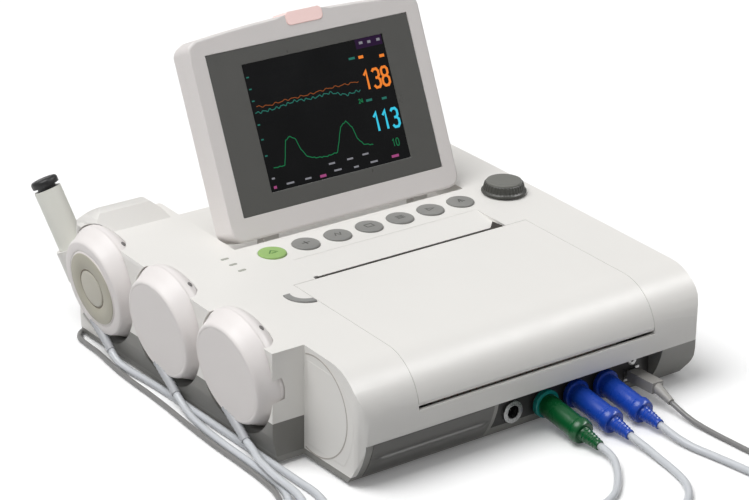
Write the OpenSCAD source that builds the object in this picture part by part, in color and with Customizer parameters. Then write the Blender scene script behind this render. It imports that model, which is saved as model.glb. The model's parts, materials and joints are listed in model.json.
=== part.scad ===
// Tabletop fetal monitor with a folding display, a paper recorder and three belt transducers
// X runs to the right, Y to the back and Z up, with the origin on the table under the middle

/* [Body] */
// Width of the housing, from the transducer bay to the right side
body_w = 298; // [296:1:302]
// Depth of the housing, from the front roll to the rear face
body_d = 298; // [297:1:304]
// Height of the top just behind the front roll
top_front_z = 76.5; // [76:0.5:78]
// Height of the top at the rear edge
top_rear_z = 86; // [85:0.5:88]
// Radius of the front roll
roll_r = 34; // [33:0.5:35]
// Height of the joint between the dark base and the white housing
seam_z = 31; // [30:0.5:32]
// Thickness of the housing walls
wall = 2.5; // [2:0.1:2.6]
// How far the transducer bay stands out past the left end of the front roll
bay_out = 23.5; // [23:0.5:24]

/* [Display] */
// Width of the display housing
display_w = 187.5; // [180:0.5:190]
// Height of the display housing at the middle of its arched top
display_h = 140; // [136:1:142]
// Thickness of the display housing
display_t = 21.5; // [20:0.5:23]
// How far the display leans back from upright
display_lean = 23.7; // [15:0.1:30]
// Width of the front glass
glass_w = 164.3; // [150:0.1:166]
// Height of the front glass
glass_h = 109; // [100:1:110]
// Width of the lit picture, a 5.7 inch panel
picture_w = 115.2; // [110:0.1:118]
// Height of the lit picture
picture_h = 86.4; // [80:0.1:88]

/* [Controls] */
// Diameter of a key cap
key_d = 19; // [17:0.5:20]
// Distance from one grey key to the next
key_pitch = 25.8; // [25:0.1:26]
// Travel of a key
key_travel = 1.2; // [0.8:0.1:1.4]
// Diameter of the knob at its foot
knob_d = 31.5; // [28:0.5:32]
// Height of the knob
knob_h = 8.6; // [7:0.1:11]

/* [Recorder] */
// Width of the paper lid
lid_w = 190; // [188:1:192]
// Width of the folded paper
paper_w = 150; // [148:1:152]
// Height of the paper pack
paper_h = 15; // [8:1:17]

/* [Transducers] */
// Largest diameter of a transducer
puck_d = 79; // [77:0.5:80]
// Distance from one transducer to the next
puck_pitch = 80.5; // [80:0.5:82]
// How far the faces look down
puck_lean = 9; // [6:0.5:10]
// Travel of the pressure pad
pad_travel = 0.8; // [0.4:0.1:1]

/* [Cords] */
// Diameter of a transducer cord
cord_d = 5; // [4.6:0.1:5]
// Diameter of the event marker cord
thin_cord_d = 3.6; // [3.2:0.1:3.6]
// Turns in the coil of a transducer cord
coil_turns = 9; // [7:1:9]

/* [Hidden] */
$fn = 48;

// Heights and places that every piece shares
front = -body_d / 2;
back = body_d / 2;
left = -body_w / 2;
right = body_w / 2;
roll_left = left + bay_out;
floor_z = 3;
floor_in = floor_z + wall;
roll_z = top_front_z - roll_r;
lip_r = 61;
bay_y = front + 60.5;
bay_floor = 7;
skirt_x = roll_left + 4;
top_slope = (top_rear_z - top_front_z) / (body_d - roll_r);
far = 400;

// Height of the top surface at a place along the depth
function top_z(y) = top_front_z + (y - front - roll_r) * top_slope;

// Points of an arc, from one angle to another in n steps
function arc(cx, cy, r, from, to, n = 6) =
    [for (i = [0:n]) let(a = from + (to - from) * i / n) [cx + r * cos(a), cy + r * sin(a)]];

// A box given by its low and high corners
module span(low, high) {
    translate(low) cube(high - low);
}

// A bar of a side view drawn in Y and Z, from one X to another
module along_x(from, to) {
    translate([from, 0, 0]) rotate([90, 0, 90]) linear_extrude(to - from) children();
}

// A bar of a front view drawn in X and Z, from one Y to another
module along_y(from, to) {
    translate([0, to, 0]) rotate([90, 0, 0]) linear_extrude(to - from) children();
}

// A round rod along X
module rod_x(from, to, y, z, d) {
    translate([from, y, z]) rotate([0, 90, 0]) cylinder(h = to - from, d = d);
}

// A round rod along Y
module rod_y(from, to, x, z, d) {
    translate([x, from, z]) rotate([-90, 0, 0]) cylinder(h = to - from, d = d);
}

// A rectangle with round corners, as a polygon
module round_rect(w, h, r, n = 4) {
    polygon(concat(
        arc(w / 2 - r, h / 2 - r, r, 0, 90, n), arc(r - w / 2, h / 2 - r, r, 90, 180, n),
        arc(r - w / 2, r - h / 2, r, 180, 270, n), arc(w / 2 - r, r - h / 2, r, 270, 360, n)));
}

// Side view of the housing: the front roll, the sloping top and the rounded rear edge
module side_view(i) {
    rear_r = 12;
    lip_start = asin((roll_z - floor_z - i) / (lip_r - i));
    polygon(concat(
        arc(front + lip_r, roll_z, lip_r - i, 180 + lip_start, 180, 5),
        arc(front + roll_r, roll_z, roll_r - i, 180, 90, 9),
        arc(back - rear_r, top_rear_z - rear_r, rear_r - i, 88, 0, 5),
        [[back - i, floor_z + i]]));
}

// Plan of the housing: the roll ends short of the transducer bay on the left
module plan_view(i) {
    r = 9;
    polygon(concat(
        [[roll_left + i, bay_y + i]],
        arc(roll_left + r, front + r, r - i, 180, 270, 4),
        arc(right - r, front + r, r - i, 270, 360, 4),
        arc(right - r, back - r, r - i, 0, 90, 4),
        arc(left + r, back - r, r - i, 90, 180, 4),
        [[left + i, bay_y + i]]));
}

// Front view of the housing: rounded top edges and a chamfered foot on the left
module front_view(i) {
    r = 7;
    high = top_rear_z + 2;
    polygon(concat(
        [[left + 4 + i, floor_z], [right - 4 - i, floor_z], [right - i, 14]],
        arc(right - r, high - r, r - i, 0, 90, 4),
        arc(left + r, high - r, r - i, 90, 180, 4),
        [[left + i, 20]]));
}

// The whole outer form, or the form inset by i
module body_form(i) {
    intersection() {
        along_x(left - 1, right + 1) side_view(i);
        translate([0, 0, -1]) linear_extrude(far) plan_view(i);
        along_y(front - 1, back + 1) front_view(i);
    }
}

// Raised shoulder at the left end of the rear edge
shoulder_x = [left + 2, left + 60];
shoulder_y = back - 34;
shoulder_z = top_rear_z + 10;
module shoulder_form(i) {
    intersection() {
        along_x(shoulder_x[0] + i, shoulder_x[1] - i) polygon([
            [shoulder_y + i, 60], [shoulder_y + i, top_z(shoulder_y) - i],
            [shoulder_y + 12, shoulder_z - i - 1], [back - 14, shoulder_z - i],
            [back - 3 - i, top_rear_z - i], [back - 1 - i, 60]]);
        along_y(front, back) polygon(concat(
            [[shoulder_x[0] + i, 60]],
            arc(shoulder_x[0] + 12, shoulder_z - 12, 12 - i, 180, 95, 4),
            arc(shoulder_x[1] - 25, shoulder_z - 22, 25 - i, 90, 8, 5),
            [[shoulder_x[1] - i, 60]]));
    }
}

// Places of the transducers, first the front one
puck_x = left - 7;
puck_z = 50;
puck_r = puck_d / 2;
puck_y = [for (i = [0:2]) front + 100.5 + i * puck_pitch];

// Outline of a transducer as radius and depth behind its face
face_r = puck_r - 8;
rim_depth = 13;
puck_depth = 29.5;
belt_knob_r = 11;
belt_knob_h = 7.5;
face_edge = [[face_r, 0], [face_r + 1.6, -0.8], [face_r + 2.8, -3], [puck_r, -rim_depth]];
dome_edge = [
    [puck_r, -rim_depth], [puck_r, -rim_depth - 2], [puck_r - 1, -rim_depth - 5], [puck_r - 4.5, -rim_depth - 9],
    [puck_r - 11.5, -rim_depth - 13], [puck_r - 19, -puck_depth + 1], [puck_r - 29, -puck_depth]];

// Stands a transducer in its bay: local Z looks out to the left and local X is up
bay_gap = 1.2;
module in_bay(i) {
    translate([puck_x, puck_y[i], puck_z]) rotate([0, -90 - puck_lean, 0]) children();
}

// Hollow that takes the back of a transducer, grown by g
module bay_hollow(g) {
    rotate_extrude() polygon(concat(
        [[0, 20], [puck_r + bay_gap + g, 20], [puck_r + bay_gap + g, -rim_depth - 2 - g]],
        [for (k = [2:len(dome_edge) - 1]) [dome_edge[k][0] + 0.3 + g, dome_edge[k][1] - 0.3 - g]],
        [[0, -puck_depth - 0.3 - g]]));
    translate([0, 0, -puck_depth - belt_knob_h - 0.3 - g]) cylinder(h = 14, r = belt_knob_r + 1 + g);
}

// Bay for the display when it is folded flat
display_x = 9.8;
tray_gap = 1.05;
tray_left = display_x - display_w / 2 - tray_gap;
tray_right = display_x + display_w / 2 + tray_gap;
tray_y = front + 197.5;
tray_z = 69.5;
hinge_y = front + 206.95;
hinge_z = 85.3;
hinge_t = 7.5;
hinge_s = 3.5;
hinge_pin_d = 3.6;
hinge_x = [display_x - 62, display_x + 62];
lug_w = 12;
lug_r = 4;
lug_gap = 0.5;
fit = 0.1;

// Places of the keys, the knob and the lights
key_y = front + 180;
knob_x = right - 24.3;
knob_y = front + 177.5;
key_x = [for (i = [0:5]) knob_x - 165.1 + i * key_pitch];
green_x = key_x[0] - 26.8;
knob_shaft_d = 6;
light_x = green_x - 31;
light_y = [for (v = [169, 179.4, 189.2]) front + v];
board_z = 66;
board_t = 1.6;
key_under = top_z(key_y) - wall;

// Places of the recorder
printer_x = 12.3;
lid_left = printer_x - lid_w / 2;
lid_right = printer_x + lid_w / 2;
lid_back = front + 132.7;
lid_gap = 0.35;
tear_back = lid_back + 3.6;
scoop_d = 3.2;
scoop_l = 28;
lid_slot = 4.4;
tear_proud = 0.6;
lid_axis_z = 49.4;
lid_axis_y = front + 3.8;
lid_roll_r = 3;
lid_pin_d = 2.4;
platen_y = front + 122;
platen_z = 70.2;
platen_d = 12;
platen_shaft_d = 4;
paper_left = printer_x - paper_w / 2;
paper_right = printer_x + paper_w / 2;
paper_back = front + 108;
frame_left = paper_left - 7;
frame_right = paper_right + 7;
gear_x = frame_right + 5;
gear_w = 4;
tooth = 1;
gear_teeth = 11;
pinion_teeth = 16;
pinion_z = platen_z - tooth * (gear_teeth + pinion_teeth) / 2 - 0.3;
paper_z = 38;

// Places of the front connectors
panel_y = front + 14;
recess_left = -20;
recess_right = 116;
socket_z = 15;
socket_x = [for (i = [0:3]) 1 + 25 * i];
socket_bore = 9;
jack_x = 101;

// Bosses that join the base and the housing, and the small board bosses
boss_at = [[left + 39, front + 30], [right - 17, front + 42], [left + 45, front + 146],
           [right - 16, front + 140], [left + 49, back - 12], [right - 16, back - 12]];
board_boss_at = [[green_x - 17.8, front + 160], [green_x + 92.2, front + 160], [knob_x - 20.7, front + 190]];
screw_d = 3;

// Places of the event marker, which hangs behind the left rear corner
marker_d = 19;
marker_len = 75;
marker_lean = 12.6;
marker_back_lean = 22;
marker_foot = [left + 19.5, back + 15, 30];
marker_top_len = 5;
marker_relief = 8;

module marker_frame() {
    translate(marker_foot) rotate([-marker_back_lean, -marker_lean, 0]) children();
}

// Base

tray_boss_d = 9;
post_d = 7;
post_x = [0, 76];
post_y = [front + 62, back - 30];
module base_form() {
    difference() {
        union() {
            difference() {
                intersection() {
                    body_form(0);
                    union() {
                        span([skirt_x, front - 1, 0], [right + 1, back + 1, seam_z]);
                        span([left - 1, front - 1, 0], [skirt_x + 1, back + 1, bay_floor]);
                    }
                }
                intersection() {
                    body_form(wall);
                    span([skirt_x + wall, front - 1, 0], [right + 1, back + 1, far]);
                }
            }
            intersection() {
                body_form(0);
                for (x = [recess_left - wall, recess_right]) {
                    span([x, front, floor_z], [x + wall, panel_y + wall, seam_z]);
                }
            }
            for (p = boss_at) {
                translate([p[0], p[1], floor_z + 1]) cylinder(h = seam_z - floor_z - 1, d = tray_boss_d);
            }
            for (x = post_x, y = post_y) {
                translate([x, y, floor_z + 1]) cylinder(h = 7, d = post_d);
            }
        }
        span([recess_left, front - 1, -1], [recess_right, panel_y, seam_z + 1]);
        for (p = boss_at) {
            translate([p[0], p[1], -1]) cylinder(h = far, d = screw_d + fit * 2);
            translate([p[0], p[1], -1]) cylinder(h = floor_z + 3, d = 6.4);
        }
        for (p = feet_at) {
            translate([p[0], p[1], -1]) cylinder(h = floor_z + 2, d = foot_d);
        }
        for (i = [-3:3]) {
            span([speaker_x - 16, speaker_y + i * 5 - 1.2, -1], [speaker_x + 16, speaker_y + i * 5 + 1.2, floor_in + 1]);
        }
        span([inlet_x - 14, back - wall - 1, 12], [inlet_x + 14, back + 1, 34]);
        for (x = port_x) {
            span([x - 8, back - wall - 1, 12], [x + 8, back + 1, 26]);
        }
        rod_y(back - wall - 1, back + 1, earth_x, 19, 6 + fit * 2);
    }
}

// The floor is the flat part under the boards and under the bay, with the bosses that stand on it
module floor_part() {
    span([left - 1, front - 1, 0], [skirt_x, back + 1, far]);
    span([skirt_x - 1, front - 1, 0], [right + 1, back + 1, floor_in]);
    for (p = boss_at) {
        translate([p[0], p[1], 0]) cylinder(h = far, d = tray_boss_d + 0.4);
    }
    for (x = post_x, y = post_y) {
        translate([x, y, 0]) cylinder(h = far, d = post_d + 0.4);
    }
}

module base_floor() {
    color([0.33, 0.33, 0.34]) intersection() {
        base_form();
        floor_part();
    }
}

module base_walls() {
    color([0.33, 0.33, 0.34]) difference() {
        base_form();
        floor_part();
    }
}

foot_d = 14;
feet_at = [[left + 41, front + 50], [right - 24, front + 30], [left + 24, back - 22], [right - 27, back - 30]];
module rubber_feet() {
    color([0.12, 0.12, 0.12]) for (p = feet_at) {
        translate([p[0], p[1], 0]) cylinder(h = floor_z + 1, d = foot_d);
    }
}

module housing_screws() {
    color([0.7, 0.7, 0.72]) {
        for (p = boss_at) {
            translate([p[0], p[1], floor_z + 0.4]) cylinder(h = 1.6, d = 5.6);
            translate([p[0], p[1], floor_z + 1.9]) cylinder(h = seam_z + 3, d = screw_d);
        }
        for (p = board_boss_at) {
            translate([p[0], p[1], board_z - 1.6]) cylinder(h = 1.6, d = 5);
            translate([p[0], p[1], board_z - 0.1]) cylinder(h = 7, d = 2.5);
        }
    }
}

// Top housing

module housing_form() {
    difference() {
        union() {
            difference() {
                intersection() {
                    union() {
                        body_form(0);
                        shoulder_form(0);
                    }
                    union() {
                        span([skirt_x, front - 1, seam_z], [right + 1, back + 1, far]);
                        span([left - 1, front - 1, bay_floor], [skirt_x, back + 1, far]);
                    }
                }
                body_form(wall);
                shoulder_form(wall);
            }
            intersection() {
                union() {
                    body_form(0);
                    shoulder_form(0);
                }
                union() {
                    span([skirt_x - wall, front, bay_floor], [skirt_x, back, seam_z + wall]);
                    for (i = [0:2]) {
                        in_bay(i) bay_hollow(wall);
                    }
                    span([tray_left - wall, tray_y - wall, tray_z - wall], [tray_right + wall, back, far]);
                    span([lid_left - 2.4, front, lid_axis_z - 8], [lid_left - lid_gap, front + 40, far]);
                    span([lid_right + lid_gap, front, lid_axis_z - 8], [lid_right + 2.4, front + 40, far]);
                    intersection() {
                        tear_scoop(wall);
                        span([left, tear_back, 0], [right, tear_back + scoop_l + wall, far]);
                    }
                    for (p = boss_at) {
                        translate([p[0], p[1], seam_z]) cylinder(h = far, d = 9);
                    }
                    for (p = board_boss_at) {
                        translate([p[0], p[1], board_z + board_t]) cylinder(h = far, d = 6);
                    }
                }
            }
            marker_clip();
            hinge_lugs();
        }
        for (i = [0:2]) {
            in_bay(i) bay_hollow(0);
        }
        lid_opening();
        difference() {
            span([tray_left, tray_y, tray_z], [tray_right, back + 1, far]);
            hinge_lugs();
        }
        for (x = hinge_x) {
            rod_x(x - lug_w, x + lug_w, hinge_y, hinge_z, hinge_pin_d);
        }
        rod_x(lid_left - 1.7, lid_right + 1.7, lid_axis_y, lid_axis_z, lid_pin_d + fit);
        tear_scoop(0);
        span([paper_left - 3, lid_back, paper_z + 23], [paper_right + 3, tear_back, far]);
        for (x = concat([green_x], key_x)) {
            translate([x, key_y, board_z + 4]) cylinder(h = far, d = key_d + 0.6);
        }
        translate([knob_x, knob_y, board_z + 4]) cylinder(h = far, d = 9);
        for (y = light_y) {
            translate([light_x, y, board_z + 4]) linear_extrude(far) round_rect(6.2, 2.6, 1.2);
        }
        latch_shape(0.3, board_z - 2, far);
        for (p = boss_at) {
            translate([p[0], p[1], -1]) cylinder(h = seam_z + 9, d = screw_d + fit * 2);
        }
        for (p = board_boss_at) {
            translate([p[0], p[1], board_z]) cylinder(h = 8, d = 2.5 + fit * 2);
        }
        intersection() {
            end_cap_form(0);
            span([roll_left - 1, front, 0], [roll_left + 1.5, bay_y, far]);
        }
        span([inlet_x - 14, back - wall - 1, 12], [inlet_x + 14, back + 1, 34]);
        marker_frame() translate([0, 0, -1]) cylinder(h = marker_len, d = marker_d + 0.5);
    }
}

// The bay takes the left side behind the front roll, and the holder takes the rear left corner
split_x = left + 37;
module bay_part() {
    span([left - 40, bay_y, 0], [split_x, shoulder_y - 0.5, far]);
}

module holder_part() {
    span([left - 40, shoulder_y - 0.5, 0], [shoulder_x[1] + 1, back + 60, far]);
}

module transducer_bay() {
    color([0.93, 0.92, 0.9]) intersection() {
        housing_form();
        bay_part();
    }
}

module marker_holder() {
    color([0.93, 0.92, 0.9]) intersection() {
        housing_form();
        holder_part();
    }
}

module top_housing() {
    color([0.93, 0.92, 0.9]) difference() {
        housing_form();
        bay_part();
        holder_part();
    }
}

// Lugs that stand on the floor of the tray and carry the display
module hinge_lugs() {
    for (x = hinge_x) {
        along_x(x - lug_w / 2, x + lug_w / 2) polygon(concat(
            arc(hinge_y, hinge_z, lug_r, -10, 190, 10),
            [[hinge_y - lug_r, tray_z + 4], [hinge_y - lug_r - 3, tray_z - 0.5], [hinge_y + lug_r, tray_z - 0.5]]));
    }
}

// Sleeve on the rear face that holds the event marker
module marker_clip() {
    intersection() {
        marker_frame() {
            translate([0, 0, 5]) cylinder(h = 22, d = marker_d + 5);
            translate([-7, -28, 5]) cube([14, 22, 22]);
        }
        span([left - 30, back - wall, 0], [0, back + 40, far]);
    }
}

// Opening for the paper lid, cut through the top and the front roll
module lid_opening() {
    span([lid_left - lid_gap, front - 1, lid_axis_z], [lid_right + lid_gap, lid_back + lid_gap, far]);
    span([lid_left - lid_gap, front - 1, lid_axis_z - lid_slot],
         [lid_right + lid_gap, lid_axis_y + lid_roll_r + 0.6, lid_axis_z + 1]);
}

// Shallow scoop behind the tear edge, where the paper comes out
module tear_scoop(sink) {
    low = top_z(tear_back) - scoop_d - sink;
    along_x(paper_left + 1 - sink, paper_right + 3 + sink) polygon([
        [tear_back - 1, low], [tear_back + 3, low], [tear_back + scoop_l + sink, top_z(tear_back + scoop_l) - sink / 4],
        [tear_back + scoop_l + sink, top_z(lid_back) + 9], [tear_back - 1, top_z(lid_back) + 9]]);
}

module end_cap_form(i) {
    intersection() {
        along_x(roll_left, roll_left + 1.5) side_view(9 + i);
        span([roll_left - 1, front, floor_z + 5 + i], [roll_left + 2, bay_y - 3 - i, far]);
    }
}

module left_end_cap() {
    color([0.88, 0.86, 0.84]) end_cap_form(0.25);
}

// Front connectors

module connector_panel() {
    color([0.28, 0.28, 0.29]) difference() {
        intersection() {
            body_form(wall);
            union() {
                span([recess_left, panel_y, floor_in], [recess_right, panel_y + 2, seam_z]);
                span([recess_left, front + 4, seam_z], [recess_right, panel_y + 2, seam_z + 2]);
            }
        }
        for (x = socket_x) {
            rod_y(panel_y - 1, panel_y + 3, x, socket_z, 12 + fit * 2);
        }
        span([jack_x - 6.5, panel_y - 1, socket_z - 5.5], [jack_x + 6.5, panel_y + 3, socket_z + 3.5]);
        rod_y(panel_y - 1, panel_y + 3, jack_x, socket_z + 8.5, 5 + fit * 2);
    }
}

module transducer_sockets() {
    color([0.72, 0.72, 0.74]) for (x = socket_x) {
        difference() {
            union() {
                rod_y(panel_y - 2, panel_y, x, socket_z, 15);
                rod_y(panel_y - 1, panel_y + 18, x, socket_z, 12);
            }
            rod_y(panel_y - 3, panel_y + 14, x, socket_z, socket_bore);
        }
    }
}

module front_jacks() {
    color([0.6, 0.6, 0.6]) {
        difference() {
            span([jack_x - 6.4, panel_y - 0.6, socket_z - 5.4], [jack_x + 6.4, panel_y + 14, socket_z + 3.4]);
            span([jack_x - 4.2, panel_y - 1, socket_z - 3.7], [jack_x + 4.2, panel_y + 10, socket_z + 1.7]);
        }
        difference() {
            union() {
                rod_y(panel_y - 0.8, panel_y, jack_x, socket_z + 8.5, 7);
                rod_y(panel_y - 0.5, panel_y + 9, jack_x, socket_z + 8.5, 5);
            }
            rod_y(panel_y - 2, panel_y + 7, jack_x, socket_z + 8.5, 2.6);
        }
    }
}

// Electronics

speaker_x = left + 61;
speaker_y = front + 84;
module speaker() {
    color([0.2, 0.2, 0.21]) translate([speaker_x, speaker_y, floor_in]) difference() {
        union() {
            cylinder(h = 3, d = 46);
            translate([0, 0, 3]) cylinder(h = 8, d1 = 44, d2 = 26);
            translate([0, 0, 11]) cylinder(h = 7, d = 26);
        }
        translate([0, 0, -1]) cylinder(h = 9, d1 = 40, d2 = 14);
    }
}

module main_board() {
    color([0.1, 0.4, 0.2]) {
        span([-8, front + 56, floor_z + 8], [84, back - 20, floor_z + 9.6]);
        for (p = [[16, 90], [56, 90], [16, 150], [56, 150], [36, 210]]) {
            span([p[0] - 12, front + p[1] - 12, floor_z + 9.6], [p[0] + 12, front + p[1] + 12, floor_z + 12.4]);
        }
    }
}

module power_supply() {
    color([0.55, 0.5, 0.2]) {
        span([-92, front + 165, floor_in], [-16, back - 22, floor_in + 2]);
        span([-88, front + 172, floor_in + 2], [-50, front + 214, floor_in + 34]);
        span([-44, front + 172, floor_in + 2], [-22, front + 200, floor_in + 26]);
        for (y = [222, 250]) {
            translate([-34, front + y, floor_in + 2]) cylinder(h = 30, d = 18);
        }
    }
}

inlet_x = -58;
port_x = [20, 44];
earth_x = -82;
module rear_connectors() {
    color([0.15, 0.15, 0.15]) {
        difference() {
            span([inlet_x - 14, back - 20, 12], [inlet_x + 14, back, 34]);
            span([inlet_x - 11, back - 16, 15], [inlet_x + 11, back + 1, 31]);
        }
        for (x = port_x) {
            difference() {
                span([x - 8, back - 18, 12], [x + 8, back, 26]);
                span([x - 6, back - 14, 14.5], [x + 6, back + 1, 23.5]);
            }
        }
        rod_y(back - 10, back + 8, earth_x, 19, 6);
        rod_y(back - 10, back - wall, earth_x, 19, 12);
    }
}

// Recorder

module printer_frame() {
    color([0.45, 0.46, 0.48]) difference() {
        union() {
            span([frame_left, front + 10, paper_z - 2], [frame_right, lid_back + 8, paper_z]);
            for (x = [frame_left, frame_right - 2]) {
                span([x, front + 10, paper_z - 2], [x + 2, lid_back + 8, paper_z + 22]);
            }
            span([frame_left, paper_back + 1, paper_z - 2], [frame_right, paper_back + 3, paper_z + 22]);
            span([frame_left, lid_back + 6, paper_z - 2], [frame_right, lid_back + 8, paper_z + 22]);
            span([frame_left, lid_back - 2.4, paper_z + 20], [frame_right, lid_back + 8, paper_z + 22]);
            for (x = [frame_left, frame_right - 6], y = [front + 50, lid_back - 9]) {
                span([x, y, floor_in], [x + 6, y + 6, paper_z - 1]);
            }
        }
        rod_x(frame_right - 3, frame_right + 1, platen_y, pinion_z, 8);
    }
}

module print_head() {
    color([0.75, 0.72, 0.65]) {
        span([paper_left - 3, lid_back - 1, paper_z + 22], [paper_right + 3, lid_back + 7, paper_z + 26]);
        span([paper_left - 1, lid_back + 1, paper_z + 26], [paper_right + 1, lid_back + 3, paper_z + 36]);
        span([paper_left - 1, platen_y + platen_d / 2 + 0.4, paper_z + 30],
             [paper_right + 1, lid_back + 1, paper_z + 34]);
    }
}

module tear_bar() {
    color([0.7, 0.7, 0.7]) {
        span([paper_left - 1, lid_back + 1, paper_z + 36],
             [paper_right + 1, lid_back + 2.2, top_z(lid_back) + tear_proud]);
    }
}

module paper_motor() {
    color([0.3, 0.3, 0.32]) {
        rod_x(frame_right - 26, frame_right - 2, platen_y, pinion_z, 14);
        rod_x(frame_right - 2, gear_x - 0.5, platen_y, pinion_z, 7);
        rod_x(gear_x - 1, gear_x + gear_w + 1, platen_y, pinion_z, 3);
    }
}

// A spur gear around X, with teeth cut clear of its mate
module gear(from, w, teeth, bore, phase) {
    r = tooth * teeth / 2;
    step = 360 / teeth;
    translate([from, 0, 0]) rotate([90, 0, 90]) linear_extrude(w) difference() {
        polygon([for (i = [0:teeth - 1]) let(a = phase + i * step)
            each [for (k = [[-0.3, -1.1], [-0.14, 0.9], [0.14, 0.9], [0.3, -1.1]])
                [(r + k[1] * tooth) * cos(a + k[0] * step), (r + k[1] * tooth) * sin(a + k[0] * step)]]]);
        circle(d = bore);
    }
}

module motor_pinion() {
    color([0.85, 0.83, 0.75]) translate([0, platen_y, pinion_z]) {
        gear(gear_x, gear_w, pinion_teeth, 3 + fit, 90);
    }
}

module platen_roller() {
    color([0.15, 0.15, 0.16]) {
        rod_x(paper_left - 1, paper_right + 1, platen_y, platen_z, platen_d);
        rod_x(paper_left - 9, gear_x + gear_w + 1.5, platen_y, platen_z, platen_shaft_d);
        translate([0, platen_y, platen_z]) gear(gear_x, gear_w, gear_teeth, platen_shaft_d - 0.4, 270 + 180 / gear_teeth);
    }
}

module paper_pack() {
    color([0.95, 0.9, 0.88]) {
        span([paper_left, front + 14, paper_z], [paper_right, paper_back, paper_z + paper_h]);
    }
}

module paper_lid() {
    color([0.93, 0.92, 0.9]) difference() {
        union() {
            difference() {
                intersection() {
                    body_form(0);
                    span([lid_left, front - 1, lid_axis_z], [lid_right, lid_back, far]);
                }
                along_x(lid_left - 1, lid_right + 1) side_view(wall);
            }
            rod_x(lid_left, lid_right, lid_axis_y, lid_axis_z, lid_roll_r * 2);
            for (x = [paper_left - 7, paper_right + 4.5]) {
                intersection() {
                    span([x, platen_y - 5, platen_z - 4], [x + 2.5, platen_y + 5, far]);
                    body_form(wall - 0.5);
                }
            }
        }
        rod_x(paper_left - 15, paper_right + 15, platen_y, platen_z, platen_shaft_d + fit);
        rod_x(lid_left - 1, lid_left + 12, lid_axis_y, lid_axis_z, lid_pin_d + fit);
        rod_x(lid_right - 12, lid_right + 1, lid_axis_y, lid_axis_z, lid_pin_d + fit);
    }
}

hinge_pin_l = 21;

// Steel pins of the lid hinge and of the display hinge
module hinge_pins() {
    color([0.75, 0.75, 0.77]) {
        rod_x(lid_left - 1.6, lid_left + 11, lid_axis_y, lid_axis_z, lid_pin_d);
        rod_x(lid_right - 11, lid_right + 1.6, lid_axis_y, lid_axis_z, lid_pin_d);
        for (x = hinge_x) {
            rod_x(x - hinge_pin_l / 2, x + hinge_pin_l / 2, hinge_y, hinge_z, hinge_pin_d);
        }
    }
}

// Crescent that releases the lid, grown by g
latch_c = [-83.5, front + 119.5];
latch_r = 14.5;
latch_w = 4.6;
module latch_shape(g, from, to) {
    intersection() {
        translate([latch_c[0], latch_c[1], from]) difference() {
            cylinder(h = to - from, r = latch_r + g);
            translate([0, 0, -1]) cylinder(h = to - from + 2, r = latch_r - latch_w - g);
        }
        translate([latch_c[0], latch_c[1], from]) linear_extrude(to - from) polygon([
            [-0.9 + g, 0], [-0.9 + g, -30], [-30, -30], [-30, 4 + g], [-0.9 + g, 4 + g]]);
    }
}

module lid_latch() {
    color([0.5, 0.5, 0.5]) {
        latch_shape(0, top_z(latch_c[1]) - wall - 1, top_z(latch_c[1]) + 0.8);
        intersection() {
            latch_shape(1.6, top_z(latch_c[1]) - wall - 2.3, top_z(latch_c[1]) - wall - 0.9);
            span([-far, -far, 0], [lid_left - lid_gap - 0.6, far, far]);
        }
    }
}

// Keys, knob and lights

// A key cap with a guide flange and a stem down to its switch
module key_cap(x) {
    proud = 1.4;
    translate([x, key_y, 0]) {
        translate([0, 0, key_under - 0.3]) cylinder(h = wall + 0.3 + proud - 0.6, d = key_d);
        translate([0, 0, top_z(key_y) + proud - 0.6]) cylinder(h = 0.6, d1 = key_d, d2 = key_d - 1.6);
        translate([0, 0, key_under - 1.7]) cylinder(h = 1.4, d = key_d + 2.4);
        translate([0, 0, switch_top + key_travel + 0.2]) cylinder(h = key_under - 1 - switch_top - key_travel - 0.2, d = 5);
    }
}

switch_top = board_z + board_t + 5;
module key_board() {
    color([0.12, 0.38, 0.2]) difference() {
        union() {
            span([light_x - 5.8, front + 155, board_z], [knob_x + 17.3, front + 193.5, board_z + board_t]);
            for (x = concat([green_x], key_x)) {
                span([x - 3, key_y - 3, board_z + board_t - 0.1], [x + 3, key_y + 3, switch_top]);
            }
            span([knob_x - 6.5, knob_y - 6.5, board_z + board_t - 0.1], [knob_x + 6.5, knob_y + 6.5, board_z + 8]);
            translate([knob_x, knob_y, board_z + 7]) cylinder(h = top_z(knob_y) - board_z, d = knob_shaft_d);
        }
        for (p = board_boss_at) {
            translate([p[0], p[1], board_z - 1]) cylinder(h = 5, d = 2.5 + fit * 2);
        }
    }
}

module status_lights() {
    color([0.75, 0.8, 0.6]) for (y = light_y) {
        translate([light_x, y, board_z + board_t]) linear_extrude(top_z(y) - board_z - board_t + 0.3) {
            round_rect(5.8, 2.2, 1);
        }
    }
}

module knob() {
    base = top_z(knob_y + knob_d / 2) + 0.4;
    color([0.24, 0.24, 0.22]) translate([knob_x, knob_y, base]) difference() {
        union() {
            cylinder(h = 1.8, d = knob_d);
            translate([0, 0, 1.7]) cylinder(h = knob_h - 3.2, d1 = knob_d - 2.4, d2 = knob_d - 4);
            translate([0, 0, knob_h - 1.5]) cylinder(h = 1.5, d1 = knob_d - 4, d2 = knob_d - 8);
        }
        translate([0, 0, -1]) cylinder(h = knob_h - 1, d = knob_shaft_d + fit);
    }
}

// Display

// Local X runs along the display, Y is the depth behind its front and Z runs up its face
module on_display() {
    translate([display_x, hinge_y, hinge_z]) rotate([-display_lean, 0, 0]) {
        translate([0, -hinge_t, -hinge_s]) children();
    }
}

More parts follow.
